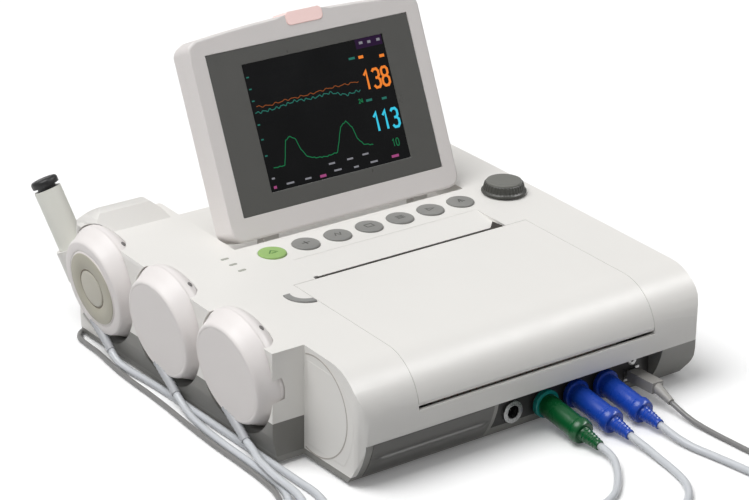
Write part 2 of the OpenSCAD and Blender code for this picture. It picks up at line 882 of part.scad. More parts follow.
// Outline of the display with its arched top edge, inset by i
module display_outline(i) {
    arch = 5;
    arch_r = ((display_w / 2) ^ 2 + arch ^ 2) / (2 * arch);
    spread = asin((display_w / 2 - 7) / arch_r);
    polygon(concat(
        arc(0, display_h - arch_r, arch_r - i, 90 - spread, 90 + spread, 8),
        arc(6 - display_w / 2, display_h - arch - 6.6, 6 - i, 110, 180, 3),
        arc(9 - display_w / 2, 9, 9 - i, 180, 270, 3),
        arc(display_w / 2 - 9, 9, 9 - i, 270, 360, 3),
        arc(display_w / 2 - 6, display_h - arch - 6.6, 6 - i, 0, 70, 3)));
}

frame_t = 12;
skin = 2.2;
lamp_s = display_h - 7.5;
glass_s = lamp_s - 8 - glass_h;
picture_dx = 1.2;
picture_s = glass_s + 11.9;
module display_window(w, h, s, from, to) {
    span([-w / 2, from, s], [w / 2, to, s + h]);
}

module display_frame() {
    color([0.88, 0.86, 0.85]) on_display() difference() {
        along_y(0, frame_t) display_outline(0);
        difference() {
            along_y(skin, frame_t + 1) display_outline(skin);
            for (x = hinge_x) {
                span([x - display_x - 11, 0, 0], [x - display_x + 11, frame_t, 9.8]);
            }
        }
        lug_notches();
        display_window(glass_w + 0.2, glass_h + 0.2, glass_s - 0.1, -1, 1.8);
        display_window(glass_w - 6, glass_h - 6, glass_s + 3, -1, skin + 1);
        for (x = hinge_x) {
            rod_x(x - display_x - 12, x - display_x + 12, hinge_t, hinge_s, hinge_pin_d + fit);
        }
        along_y(-1, lamp_t) lamp_outline(0.1);
    }
}

// Notches in the display's lower edge that swing past the lugs
module lug_notches() {
    half = lug_w / 2 + lug_gap;
    r = lug_r + lug_gap;
    for (x = hinge_x) {
        along_x(x - display_x - half, x - display_x + half) polygon(concat(
            arc(hinge_t, hinge_s, r, 90, 180, 6),
            [[hinge_t - r, -1], [display_t + 1, -1], [display_t + 1, hinge_s + r]]));
    }
}

module display_glass() {
    color([0.2, 0.2, 0.2]) on_display() display_window(glass_w, glass_h, glass_s, 0.3, 1.8);
}

module display_panel() {
    color([0.05, 0.05, 0.06]) on_display() {
        translate([picture_dx, 0, 0]) {
            display_window(picture_w + 16, picture_h + 14, picture_s - 7, 1.8, 8);
        }
        display_window(120, 70, 35, 12.4, 14);
        for (x = [-50, 50], z = [40, 95]) {
            rod_y(8, 12.5, x, z, 6);
        }
    }
}

module display_cover() {
    depth = display_t;
    color([0.86, 0.84, 0.83]) on_display() difference() {
        intersection() {
            along_y(frame_t, depth) display_outline(0);
            along_x(-display_w, display_w) polygon([
                [frame_t, -1], [depth - 5, -1], [depth, 5], [depth, display_h - 12], [depth - 6, display_h + 1],
                [frame_t, display_h + 1]]);
        }
        intersection() {
            along_y(frame_t - 1, depth - skin) display_outline(skin);
            along_x(-display_w, display_w) polygon([
                [frame_t - 1, -1], [depth - 6, -1], [depth, 6], [depth, display_h - 14], [depth - 8, display_h + 1],
                [frame_t - 1, display_h + 1]]);
        }
        for (x = display_screw_x, z = display_screw_z) {
            rod_y(depth - 4, depth + 1, x, z, screw_d + fit * 2);
        }
        lug_notches();
        along_y(-1, lamp_t) lamp_outline(0.1);
        for (i = [-5:5]) {
            span([i * 6 - 1.2, depth - 3, 60], [i * 6 + 1.2, depth + 1, 84]);
        }
    }
    color([0.86, 0.84, 0.83]) on_display() for (x = display_screw_x, z = display_screw_z) {
        difference() {
            rod_y(frame_t, depth - skin + 0.2, x, z, 7);
            rod_y(frame_t - 1, depth + 1, x, z, screw_d + fit * 2);
        }
    }
}

display_screw_x = [-80, 80];
display_screw_z = [20, 112];
module display_screws() {
    color([0.7, 0.7, 0.72]) on_display() for (x = display_screw_x, z = display_screw_z) {
        rod_y(frame_t + 2, display_t + 0.1, x, z, screw_d);
        rod_y(display_t, display_t + 1.2, x, z, 5.6);
    }
}

// Alarm lamp let into the top edge of the display, seen from the front and from above
lamp_w = 29;
lamp_h = 9;
lamp_t = 18;
module lamp_outline(g) {
    translate([0, lamp_s + lamp_h / 2]) round_rect(lamp_w + 2 * g, lamp_h + 2 * g, 3);
}
module alarm_lamp() {
    color([0.9, 0.55, 0.5]) on_display() {
        along_y(-0.4, lamp_t - 0.3) lamp_outline(0);
    }
}

// Transducers

module puck_face(ring) {
    difference() {
        rotate_extrude() polygon(concat([[0, 0]], face_edge, [[puck_r - 2.4, -rim_depth], [face_r, -3], [0, -3]]));
        if (ring > 0) {
            translate([0, 0, -4]) cylinder(h = 10, r = ring);
        }
    }
}

module puck_back() {
    difference() {
        rotate_extrude() polygon(concat(
            [[0, -puck_depth]], [[puck_r - 29, -puck_depth]],
            [for (k = [1:len(dome_edge) - 1]) dome_edge[len(dome_edge) - 1 - k]],
            [[puck_r - 2.4, -rim_depth], [puck_r - 3.4, -rim_depth - 4.6], [puck_r - 13, -rim_depth - 10.8],
             [0, -rim_depth - 13.4]]));
    }
    translate([0, 0, -puck_depth - belt_knob_h / 2 - 0.1]) cylinder(h = belt_knob_h / 2 + 0.2, r = belt_knob_r - 3.5);
    translate([0, 0, -puck_depth - belt_knob_h]) cylinder(h = belt_knob_h / 2, r = belt_knob_r);
}

// Strain relief that leaves the low front of the face shell, and the small stud near the top of the rim
relief_from = [8, 12, -29];
relief_to = [4, -15, -40.5];
module puck_relief(i) {
    d = relief_to - relief_from;
    translate([puck_x, puck_y[i], puck_z] + relief_from) {
        rotate([0, acos(d[2] / norm(d)), atan2(d[1], d[0])]) {
            cylinder(h = norm(d), d1 = 8.4, d2 = cord_d + 1.2);
        }
    }
}

module puck_stud() {
    rotate([0, 0, -33]) translate([puck_r - 1.2, 0, -rim_depth - 1]) rotate([0, 90, 0]) cylinder(h = 2, d = 3);
}

module ultrasound_faces() {
    color([0.88, 0.87, 0.86]) for (i = [0, 1]) {
        in_bay(i) puck_face(0);
        puck_relief(i);
    }
}

module ultrasound_backs() {
    color([0.88, 0.87, 0.86]) for (i = [0, 1]) {
        puck_shell(i);
    }
}

// Back shell with its strain relief, cut clear of the face shell
module puck_shell(i) {
    difference() {
        in_bay(i) {
            puck_back();
            puck_stud();
        }
        in_bay(i) rotate_extrude() polygon([
            [0, 3], [puck_r + 1, 3], [puck_r + 1, -rim_depth + 9], [puck_r, -rim_depth], [puck_r - 2.4, -rim_depth],
            [puck_r - 5, -rim_depth - 2], [0, -rim_depth - 2]]);
    }
}

// Ultrasound crystals of the front and middle transducers and the strain gauge beam of the rear one
module transducer_sensors() {
    color([0.8, 0.7, 0.4]) for (i = [0, 1]) {
        in_bay(i) {
            translate([0, 0, -8]) cylinder(h = 1.6, r = face_r - 9);
            for (k = [0:6]) {
                r = k == 0 ? 0 : 15;
                rotate([0, 0, k * 60]) translate([r, 0, -6.5]) cylinder(h = 3.5, r = 6);
            }
        }
    }
    color([0.6, 0.6, 0.62]) in_bay(2) {
        translate([0, 0, -10.4]) cylinder(h = 1.6, r = face_r - 9);
        translate([-10, -3, -9]) cube([20, 6, 1.4]);
    }
}

toco_ring_r = 26;
pad_r = 13;
module toco_face() {
    color([0.75, 0.74, 0.68]) {
        in_bay(2) puck_face(pad_r + 0.3);
        puck_relief(2);
    }
}

module toco_back() {
    color([0.88, 0.87, 0.86]) puck_shell(2);
}

module toco_pad() {
    color([0.72, 0.71, 0.64]) in_bay(2) {
        translate([0, 0, -5]) cylinder(h = 5.9, r = pad_r);
        translate([0, 0, -6.6]) cylinder(h = 1.8, r = pad_r + 2);
    }
}

// Event marker

module marker_body() {
    color([0.84, 0.84, 0.8]) marker_frame() difference() {
        union() {
            translate([0, 0, 3]) cylinder(h = marker_len - marker_top_len - 3, d = marker_d);
            cylinder(h = 3.1, d1 = marker_d - 5, d2 = marker_d);
            translate([0, 0, -marker_relief]) cylinder(h = marker_relief + 0.1, d1 = thin_cord_d + 1.2, d2 = 9);
        }
        translate([0, 0, marker_len - 16]) cylinder(h = far, d = 13.4);
    }
}

module marker_button() {
    color([0.2, 0.2, 0.2]) marker_frame() {
        translate([0, 0, marker_len - 12]) cylinder(h = 12.5, d = 13);
        translate([0, 0, marker_len - marker_top_len + 2.4]) cylinder(h = 3.6, d = marker_d);
        translate([0, 0, marker_len + 0.9]) cylinder(h = 1.6, d1 = marker_d, d2 = marker_d - 4);
    }
}

// Plugs

module round_plug(x) {
    rod_y(panel_y - 2.2, panel_y + 10, x, socket_z, socket_bore - fit * 2);
    rod_y(panel_y - 6, panel_y - 2, x, socket_z, 19);
    translate([x, panel_y - 4, socket_z]) rotate([90 + plug_droop, 0, 0]) {
        cylinder(h = 32, d = 15);
        translate([0, 0, 31.9]) cylinder(h = 6.1, d1 = 17, d2 = 15);
        translate([0, 0, 37.9]) cylinder(h = plug_relief + 0.1, d1 = 10, d2 = cord_d + 1.4);
    }
}
plug_droop = 9;
plug_relief = 15;

module green_plug() {
    color([0, 0.45, 0.25]) round_plug(socket_x[1]);
}

module blue_plugs() {
    color([0.18, 0.28, 0.72]) for (i = [2, 3]) {
        round_plug(socket_x[i]);
    }
}

module marker_plug() {
    color([0.5, 0.5, 0.5]) {
        span([jack_x - 4, panel_y - 2, socket_z - 3.5], [jack_x + 4, panel_y + 9, socket_z + 1.5]);
        span([jack_x - 4.6, panel_y - 26, socket_z - 4.8], [jack_x + 4.6, panel_y - 2, socket_z + 2.6]);
        translate([jack_x, panel_y - 25, socket_z - 1.5]) rotate([90 + plug_droop + 10, 0, 0]) {
            cylinder(h = plug_relief, d1 = 7.4, d2 = thin_cord_d + 1.2);
        }
    }
}

// Cords

// Points of the routes on the table, from each transducer to its coil and on to its plug
rear_route = [
    [-152.6, 93, 7.6], [-152.6, 86, 4.8], [-151, 76, 2.8], [-149.5, 60, 2.5], [-148.5, 35, 2.5], [-148.5, 5, 2.5],
    [-148.5, -25, 2.5], [-148.5, -55, 2.5], [-148.5, -85, 2.5], [-148.5, -112, 2.5], [-149, -136, 2.5],
    [-154, -153, 2.5], [-164, -170, 2.5], [-174, -185, 2.5]];
rear_return = [
    [-106, -240, 8], [-95, -230, 6.2], [-80, -224, 4], [-65, -225, 2.7], [-52, -230, 2.5], [-39, -238, 2.5],
    [-27, -244, 2.5], [-15, -244, 2.5], [-2, -238, 2.5], [9, -228, 2.6], [18, -217, 3.3], [24, -207, 4.4], [26, -199, 5.5]];
front_route = [
    [-152.8, -69, 8.8], [-155, -77, 8.6], [-158.5, -87, 8.4], [-160.5, -98, 8.2], [-162, -110, 8],
    [-162.6, -122, 7.8], [-162.8, -133, 6.9], [-164, -142, 5.2], [-167.5, -150, 3.6], [-173.5, -158, 2.7],
    [-184, -171, 2.5], [-198, -189, 2.5], [-211, -210, 2.5], [-217, -230, 2.5],
    [-213, -248, 2.5], [-198, -264, 2.5], [-178, -280, 2.5], [-158, -294, 2.5], [-137, -308, 2.5],
    [-116, -319, 2.5]];
front_return = [
    [-17, -304, 8], [-9, -294, 6.4], [1, -286, 4.2], [12, -279, 2.8], [23, -273, 2.5], [34, -264, 2.5],
    [42, -252, 2.5], [47, -236, 2.5], [49.8, -220, 2.9], [51, -208, 4.2], [51, -199, 5.5]];
middle_route = [
    [-152.5, 12, 7.6], [-153.3, 5, 5], [-154.5, -4, 3], [-156, -16, 2.5], [-157.5, -32, 2.5], [-158.5, -52, 2.5],
    [-159, -76, 2.5], [-160, -100, 2.5], [-163, -122, 2.5], [-172, -140, 2.5], [-184, -156, 2.5],
    [-201, -180, 2.5], [-219, -205, 2.5], [-228, -225, 2.5], [-228, -245, 2.5], [-216, -263, 2.5],
    [-192, -281, 2.5], [-167, -299, 2.5], [-143, -316, 2.5], [-117, -332, 2.5], [-92, -347, 2.5],
    [-70, -360, 2.5], [-47, -371, 2.5], [-24, -381, 2.5]];
middle_return = [
    [68, -369, 8], [74, -356, 6.4], [79, -340, 4.2], [82, -322, 2.8], [84, -302, 2.5], [85, -280, 2.5],
    [83, -258, 2.5], [80, -236, 2.5], [77.2, -220, 2.9], [76, -208, 4.2], [76, -199, 5.5]];
marker_route = [
    [-126.9, 159.1, 18.2], [-125.9, 158.2, 13.2], [-124.6, 158, 8.6], [-122, 158.2, 4.6], [-117.8, 158.6, 2.4],
    [-112, 159, 1.9], [-105, 159.6, 1.8], [-98, 161, 1.8], [-91, 164.3, 1.8], [-85.5, 169.5, 1.8], [-82, 177.5, 1.8]];
marker_return = [
    [-68, 158.8, 6.2], [-78, 157.4, 5.6], [-88, 155, 3.8], [-98, 153.4, 2.3], [-108, 152.6, 1.8], [-120, 152.6, 1.8],
    [-134, 152.4, 1.8], [-144, 150, 1.8], [-150.5, 142, 1.8], [-152, 130, 1.8], [-152.5, 115, 1.8], [-154.5, 98, 1.8],
    [-156.5, 80, 1.8], [-157.5, 60, 1.8], [-158, 40, 1.8], [-159, 20, 1.8], [-160.5, 0, 1.8], [-162, -20, 1.8],
    [-163.3, -45, 1.8], [-163.8, -75, 1.8], [-165, -100, 1.8], [-168, -120, 1.8], [-176, -137, 1.8],
    [-189, -153, 1.8], [-206, -177, 1.8], [-224, -202, 1.8], [-235, -224, 1.8], [-235, -247, 1.8], [-221, -267, 1.8],
    [-196, -286, 1.8], [-167, -306, 1.8], [-138, -325, 1.8], [-109, -344, 1.8], [-79, -362, 1.8], [-51, -377, 1.8],
    [-23, -390, 1.8], [4, -403, 1.8], [28, -411, 1.8], [50, -409, 1.8], [68, -396, 1.8], [82, -378, 1.8],
    [92, -357, 1.8], [99, -334, 1.8], [103, -310, 1.8], [104, -284, 1.8], [104, -258, 1.8], [103, -232, 1.8],
    [102, -210, 2.2], [101.4, -193, 3.6], [101, -182, 6.4]];

// A coil lies in two layers: it spirals in, climbs in half a turn and spirals out again
coil_mid = 6;
coil_step = 1.25;
coil_rings = 20;
coil_sides = 6;
run_sides = 8;
function coil_wide(c) = coil_mid * c[1] + coil_step * c[1] * (c[2] - 0.5) / 4;
function coil_half(c) = (c[2] - 0.5) / 2;
function coil_r(c, t) = coil_wide(c) - coil_step * c[1] * (t < coil_half(c) ? t : coil_half(c) - max(0, t - coil_half(c) - 0.5));
function coil_lift(c, t) = coil_step * c[1] * min(1, max(0, t - coil_half(c)) * 2);
function coil_spot(c, t) = let(a = c[3] + c[4] * 360 * t, r = coil_r(c, t))
    [c[0][0] + r * cos(a), c[0][1] + r * sin(a), c[1] / 2 + coil_lift(c, t)];
function coil_way(c, t) = let(a = c[3] + c[4] * 360 * t) c[4] * [-sin(a), cos(a), 0];
function coil_start(c) = coil_spot(c, 0) - c[1] * coil_way(c, 0);
function coil_end(c) = coil_spot(c, c[2]) + c[1] * coil_way(c, c[2]);
function coil_path(c) = let(n = ceil(c[2] * coil_rings))
    concat([coil_start(c)], [for (i = [0:n]) coil_spot(c, c[2] * i / n)], [coil_end(c)]);

// Each coil as its middle, cord diameter, turns, first angle and sense
rear_coil = [[-152, -230], cord_d, coil_turns + 0.5, 144.8, 1];
front_coil = [[-63, -293], cord_d, coil_turns + 0.25, 234.8, 1];
middle_coil = [[26, -356], cord_d, coil_turns - 0.75, 234.8, 1];
marker_coil = [[-50, 190], thin_cord_d, coil_turns - 0.25, 180, -1];

// A tube of one diameter swept along points, square to its path at both ends
module tube(path, d, sides) {
    n = len(path);
    way = [for (i = [0:n - 1]) let(v = path[min(n - 1, i + 1)] - path[max(0, i - 1)]) v / norm(v)];
    ring = [for (i = [0:n - 1])
        let(side = cross([0, 0, 1], way[i]), u = side / norm(side), v = cross(way[i], u))
        each [for (k = [0:sides - 1]) let(a = (k + 0.5) * 360 / sides) path[i] + d / 2 * (cos(a) * u + sin(a) * v)]];
    faces = concat(
        [[for (k = [0:sides - 1]) sides - 1 - k]],
        [for (i = [0:n - 2], k = [0:sides - 1]) let(a = i * sides + k, b = i * sides + (k + 1) % sides)
            each [[a, b, b + sides], [a, b + sides, a + sides]]],
        [[for (k = [0:sides - 1]) (n - 1) * sides + k]]);
    polyhedron(ring, faces);
}

// Least gap between turns of a coil, measured on its points half a turn or more apart
function coil_gap(c) = let(p = coil_path(c), n = len(p), far_off = floor(coil_rings / 2))
    min([for (i = [0:n - 1 - far_off], j = [i + far_off:n - 1]) norm(p[i] - p[j])]) - c[1];
for (c = [rear_coil, front_coil, middle_coil, marker_coil]) {
    echo("least gap in a coil", coil_gap(c));
}

function relief_end(i) = [puck_x, puck_y[i], puck_z] + relief_to;
function plug_end(x) = [x, panel_y - 4, socket_z] + (38 + plug_relief) * [0, -cos(plug_droop), -sin(plug_droop)];
function jack_end() = [jack_x, panel_y - 25, socket_z - 1.5]
    + plug_relief * [0, -cos(plug_droop + 10), -sin(plug_droop + 10)];
function marker_end() = marker_foot + marker_relief * [
    sin(marker_lean) * cos(marker_back_lean), -sin(marker_back_lean), -cos(marker_lean) * cos(marker_back_lean)];

module cord_runs(from, route, coil, back_route, to, d) {
    color([0.78, 0.8, 0.82]) {
        tube(concat([from], route, [coil_start(coil)]), d, run_sides);
        tube(concat([coil_end(coil)], back_route, [to]), d, run_sides);
    }
}

module cord_coil(coil) {
    color([0.78, 0.8, 0.82]) tube(coil_path(coil), coil[1], coil_sides);
}

base_floor();
base_walls();
top_housing();
transducer_bay();
marker_holder();
left_end_cap();
connector_panel();
transducer_sockets();
front_jacks();
rubber_feet();
housing_screws();
main_board();
power_supply();
rear_connectors();
speaker();
printer_frame();
print_head();
tear_bar();
paper_motor();
motor_pinion();
platen_roller();
paper_pack();
paper_lid();
lid_latch();
hinge_pins();
color([0.65, 0.8, 0.47]) key_cap(green_x);  // green_key
color([0.53, 0.53, 0.52]) key_cap(key_x[0]);  // grey_key_1
color([0.53, 0.53, 0.52]) key_cap(key_x[1]);  // grey_key_2
color([0.53, 0.53, 0.52]) key_cap(key_x[2]);  // grey_key_3
color([0.53, 0.53, 0.52]) key_cap(key_x[3]);  // grey_key_4
color([0.53, 0.53, 0.52]) key_cap(key_x[4]);  // grey_key_5
color([0.53, 0.53, 0.52]) key_cap(key_x[5]);  // grey_key_6
key_board();
status_lights();
knob();
display_frame();
display_glass();
display_panel();
display_cover();
display_screws();
alarm_lamp();
ultrasound_faces();
ultrasound_backs();
toco_face();
toco_back();
toco_pad();
transducer_sensors();
marker_body();
marker_button();
green_plug();
blue_plugs();
marker_plug();
union() {  // front_cord_runs
    cord_runs(relief_end(0), front_route, front_coil, front_return, plug_end(socket_x[2]), cord_d);
}
cord_coil(front_coil);  // front_cord_coil
union() {  // middle_cord_runs
    cord_runs(relief_end(1), middle_route, middle_coil, middle_return, plug_end(socket_x[3]), cord_d);
}
cord_coil(middle_coil);  // middle_cord_coil
union() {  // rear_cord_runs
    cord_runs(relief_end(2), rear_route, rear_coil, rear_return, plug_end(socket_x[1]), cord_d);
}
cord_coil(rear_coil);  // rear_cord_coil
union() {  // marker_cord_runs
    cord_runs(marker_end(), marker_route, marker_coil, marker_return, jack_end(), thin_cord_d);
}
cord_coil(marker_coil);  // marker_cord_coil
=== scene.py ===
# Tabletop fetal monitor: housing, folding display, paper recorder, belt transducers, event marker and cords.
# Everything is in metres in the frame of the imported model: X right, Y to the back, Z up from the table.
import json
import math

import bmesh
import bpy
import numpy as np
from mathutils import Quaternion, Vector
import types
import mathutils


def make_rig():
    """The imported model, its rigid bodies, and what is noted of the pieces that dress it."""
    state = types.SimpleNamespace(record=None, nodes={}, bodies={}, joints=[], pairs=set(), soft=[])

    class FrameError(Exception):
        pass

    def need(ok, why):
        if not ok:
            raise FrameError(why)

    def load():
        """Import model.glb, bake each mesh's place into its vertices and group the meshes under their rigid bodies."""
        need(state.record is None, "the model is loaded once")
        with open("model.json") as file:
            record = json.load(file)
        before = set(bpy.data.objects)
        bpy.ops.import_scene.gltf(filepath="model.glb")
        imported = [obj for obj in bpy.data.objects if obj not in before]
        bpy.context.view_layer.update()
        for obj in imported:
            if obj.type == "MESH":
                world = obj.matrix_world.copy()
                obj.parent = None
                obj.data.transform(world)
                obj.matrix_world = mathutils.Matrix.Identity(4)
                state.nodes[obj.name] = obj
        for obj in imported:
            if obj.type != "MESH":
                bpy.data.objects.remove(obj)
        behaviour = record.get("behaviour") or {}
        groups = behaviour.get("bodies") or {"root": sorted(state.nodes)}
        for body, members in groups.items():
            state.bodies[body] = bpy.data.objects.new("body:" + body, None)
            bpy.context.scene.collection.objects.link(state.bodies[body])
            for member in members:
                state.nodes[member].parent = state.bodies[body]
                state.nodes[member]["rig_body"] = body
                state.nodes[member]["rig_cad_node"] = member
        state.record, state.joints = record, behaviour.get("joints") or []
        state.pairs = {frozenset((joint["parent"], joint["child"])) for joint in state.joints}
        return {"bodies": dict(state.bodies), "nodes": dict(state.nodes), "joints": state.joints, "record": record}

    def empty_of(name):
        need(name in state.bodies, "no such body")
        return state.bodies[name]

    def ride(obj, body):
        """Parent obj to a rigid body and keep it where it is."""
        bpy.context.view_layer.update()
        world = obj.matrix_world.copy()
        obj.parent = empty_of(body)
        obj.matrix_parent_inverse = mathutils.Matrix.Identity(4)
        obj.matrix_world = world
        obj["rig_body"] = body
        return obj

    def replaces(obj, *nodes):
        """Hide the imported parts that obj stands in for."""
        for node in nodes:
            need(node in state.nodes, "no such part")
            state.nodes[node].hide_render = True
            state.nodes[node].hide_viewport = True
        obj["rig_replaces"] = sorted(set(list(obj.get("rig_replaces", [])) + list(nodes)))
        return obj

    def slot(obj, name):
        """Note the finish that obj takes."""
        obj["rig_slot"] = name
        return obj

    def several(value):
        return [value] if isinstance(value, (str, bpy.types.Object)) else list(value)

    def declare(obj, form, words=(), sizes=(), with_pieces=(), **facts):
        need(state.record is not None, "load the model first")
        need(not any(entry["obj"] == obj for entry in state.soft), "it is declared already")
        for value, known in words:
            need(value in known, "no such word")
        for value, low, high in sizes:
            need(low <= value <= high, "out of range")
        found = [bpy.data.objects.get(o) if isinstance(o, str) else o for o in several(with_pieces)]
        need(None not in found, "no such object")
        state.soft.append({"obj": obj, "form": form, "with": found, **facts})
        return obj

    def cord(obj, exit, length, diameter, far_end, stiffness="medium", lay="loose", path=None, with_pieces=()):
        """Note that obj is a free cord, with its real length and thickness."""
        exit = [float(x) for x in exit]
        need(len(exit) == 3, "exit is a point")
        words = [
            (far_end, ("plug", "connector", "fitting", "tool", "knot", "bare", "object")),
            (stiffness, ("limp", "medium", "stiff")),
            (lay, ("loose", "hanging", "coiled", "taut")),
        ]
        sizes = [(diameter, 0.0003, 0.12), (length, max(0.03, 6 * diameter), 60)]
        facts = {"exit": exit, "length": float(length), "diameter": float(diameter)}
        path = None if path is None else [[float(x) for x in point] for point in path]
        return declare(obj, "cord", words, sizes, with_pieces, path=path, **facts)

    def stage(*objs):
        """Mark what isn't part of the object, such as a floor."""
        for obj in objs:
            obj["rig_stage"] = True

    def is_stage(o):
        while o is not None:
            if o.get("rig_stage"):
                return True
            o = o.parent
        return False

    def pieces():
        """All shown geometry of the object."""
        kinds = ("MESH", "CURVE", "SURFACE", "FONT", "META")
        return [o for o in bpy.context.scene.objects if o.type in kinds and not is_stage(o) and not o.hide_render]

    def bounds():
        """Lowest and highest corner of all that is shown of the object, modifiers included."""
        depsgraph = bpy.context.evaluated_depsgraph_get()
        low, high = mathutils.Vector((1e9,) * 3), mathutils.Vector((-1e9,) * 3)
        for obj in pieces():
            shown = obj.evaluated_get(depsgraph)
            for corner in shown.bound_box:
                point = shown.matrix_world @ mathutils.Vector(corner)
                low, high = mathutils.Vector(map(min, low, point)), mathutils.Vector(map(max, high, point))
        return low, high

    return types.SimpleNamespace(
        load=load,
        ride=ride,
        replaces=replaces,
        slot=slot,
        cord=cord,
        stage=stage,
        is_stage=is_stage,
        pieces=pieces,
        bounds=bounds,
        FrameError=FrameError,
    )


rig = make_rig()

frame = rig.load()
cad_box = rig.bounds()
cad = frame["nodes"]
scene = bpy.context.scene
mm = 0.001


# Base tray.
# A dark tray moulded in flame-retardant ABS with a satin spark finish, which closes the housing from below.
# It stands on four rubber feet let into its floor, and countersunk screws pull it up against the housing.
def ink(red, green, blue):
    """A colour as the screen shows it, 0 to 255, turned to linear light by the sRGB curve."""
    c = np.array([red, green, blue]) / 255
    return tuple(np.where(c <= 0.04045, c / 12.92, ((c + 0.055) / 1.055) ** 2.4)) + (1.0,)


def wire(node, *ordered, **named):
    """Fills a shader node's sockets, in order or by name: with a value, a socket or a node's first output."""
    for key, value in [*enumerate(ordered), *named.items()]:
        socket = node.inputs[key if isinstance(key, int) else key.replace("_", " ")]
        if isinstance(value, bpy.types.Node):
            value = value.outputs[0]
        if isinstance(value, bpy.types.NodeSocket):
            node.id_data.links.new(value, socket)
        else:
            socket.default_value = value
    return node


def added(tree, kind, *ordered, **named):
    """A new shader node of that kind, its sockets filled as wire does."""
    return wire(tree.nodes.new("ShaderNode" + kind), *ordered, **named)


def blank(name):
    """A new material, its node tree and its shader."""
    material = bpy.data.materials.new(name)
    material.use_nodes = True
    return material, material.node_tree, material.node_tree.nodes["Principled BSDF"]


def moulded(name, colour, rough=0.42, grain=0.6, bump=0.05, mottle=0.03, coat=0.0, edge=0.3):
    """Moulded plastic: two near tones drift with slow noise, fine noise of grain millimetres roughens and
    bumps the skin, and edges are rounded in the shading by edge millimetres where that is above zero."""
    material, tree, shader = blank(name)
    place = added(tree, "TexCoord").outputs["Object"]

    def noise(size, detail, offset):
        """Noise with features of that many millimetres."""
        moved = added(tree, "Mapping", Vector=place, Location=offset)
        return added(tree, "TexNoise", Vector=moved, Scale=1 / (size * mm), Detail=detail)

    tones = [tuple(min(1, c * (1 + drift)) for c in colour[:3]) + (1,) for drift in (-mottle, mottle)]
    tone = added(tree, "MixRGB", noise(40, 3, (0.1, 0.2, 0.3)), *tones)
    spread = added(tree, "MapRange", Value=noise(9, 4, (0.5, 0.1, 0.7)), To_Min=rough - 0.06,
                   To_Max=rough + 0.06)
    skin = added(tree, "Bump", Strength=bump, Distance=0.0001, Height=noise(grain, 2, (0, 0, 0)))
    if edge > 0:
        rounding = added(tree, "Bevel", Radius=edge * mm)
        rounding.samples = 4
        wire(skin, Normal=rounding)
    wire(shader, Base_Color=tone, Roughness=spread, Normal=skin, Coat_Weight=coat)
    return material


slot_of = {s["node"]: s["material_slot"] for s in frame["record"]["subparts"]}


def mounted(piece, body, node_or_slot, *nodes):
    """Puts a piece on a body in a node's material slot, or a slot by name, and lets it stand for nodes."""
    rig.ride(piece, body)
    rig.slot(piece, slot_of.get(node_or_slot, node_or_slot))
    if nodes:
        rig.replaces(piece, *nodes)
    return piece


def dressed(node, body, finish, corner=35, rim=None, width=1.2):
    """A CAD shell's own triangles, welded, and shaded smooth across angles under corner degrees. Edges whose
    two ends both pass the test rim, given in millimetres, are rounded off by width millimetres."""
    mesh = cad[node].data.copy()
    mesh.name = node + "_shell"
    welded = bmesh.new()
    welded.from_mesh(mesh)
    bmesh.ops.remove_doubles(welded, verts=welded.verts, dist=2e-6)
    bmesh.ops.dissolve_limit(welded, angle_limit=math.radians(0.5), verts=welded.verts, edges=welded.edges)
    if rim:
        weight = welded.edges.layers.float.new("bevel_weight_edge")
        for edge in welded.edges:
            sharp = len(edge.link_faces) == 2 and edge.calc_face_angle(0) > math.radians(45)
            if sharp and all(rim(np.array(v.co) / mm) for v in edge.verts):
                edge[weight] = 1
    welded.to_mesh(mesh)
    welded.free()
    mesh.shade_smooth()
    mesh.set_sharp_from_angle(angle=math.radians(corner))
    mesh.materials.clear()
    mesh.materials.append(finish)
    piece = bpy.data.objects.new(node + "_shell", mesh)
    scene.collection.objects.link(piece)
    if rim:
        soft = piece.modifiers.new("round_rim", "BEVEL")
        soft.limit_method = "WEIGHT"
        soft.width = width * mm
        soft.segments = 3
        soft.use_clamp_overlap = False
    even = piece.modifiers.new("even_faces", "WEIGHTED_NORMAL")
    even.keep_sharp = True
    return mounted(piece, body, node, node)


def coat_of(node, finish):
    """Gives a CAD node that keeps its own mesh one finish all over."""
    cad[node].data.materials.clear()
    cad[node].data.materials.append(finish)


dark_plastic = moulded("dark_plastic", ink(140, 139, 135), grain=0.9, bump=0.12, mottle=0.07, edge=0)
black_rubber = moulded("black_rubber", ink(38, 38, 38), 0.75, 0.5, 0.2, 0.1, edge=0.5)
for shell in ("base_floor", "base_walls"):
    dressed(shell, "housing", dark_plastic)
coat_of("rubber_feet", black_rubber)


def metal(name, colour, rough, stretch=(1, 1, 1)):
    """Bare metal: its roughness and bump come from fine noise drawn out by stretch along the tool's marks."""
    material, tree, shader = blank(name)
    move = added(tree, "Mapping", Vector=added(tree, "TexCoord").outputs["Object"], Scale=stretch)
    marks = added(tree, "TexNoise", Vector=move, Scale=1 / (0.4 * mm), Detail=3)
    spread = added(tree, "MapRange", Value=marks, To_Min=rough * 0.6, To_Max=rough * 1.4)
    skin = added(tree, "Bump", Strength=0.08, Distance=0.0001, Height=marks)
    wire(shader, Base_Color=colour, Metallic=1, Roughness=spread, Normal=skin)
    return material


screw_steel = metal("screw_steel", ink(190, 190, 192), 0.3)
coat_of("housing_screws", screw_steel)
coat_of("hinge_pins", screw_steel)


# Top housing.
# White ABS in a fine satin skin, moulded in one piece: the front roll, the sloping top, the bay for the three
# transducers on the left and the shoulder that holds the event marker. The bay's lower part has painted shade.
shell_white = ink(236, 234, 230)
white_plastic, bay_plastic_painted_shade = [moulded(name, shell_white, 0.4, 0.8, 0.06, 0.012, edge=0)
                              for name in ("white_plastic", "bay_plastic_painted_shade")]


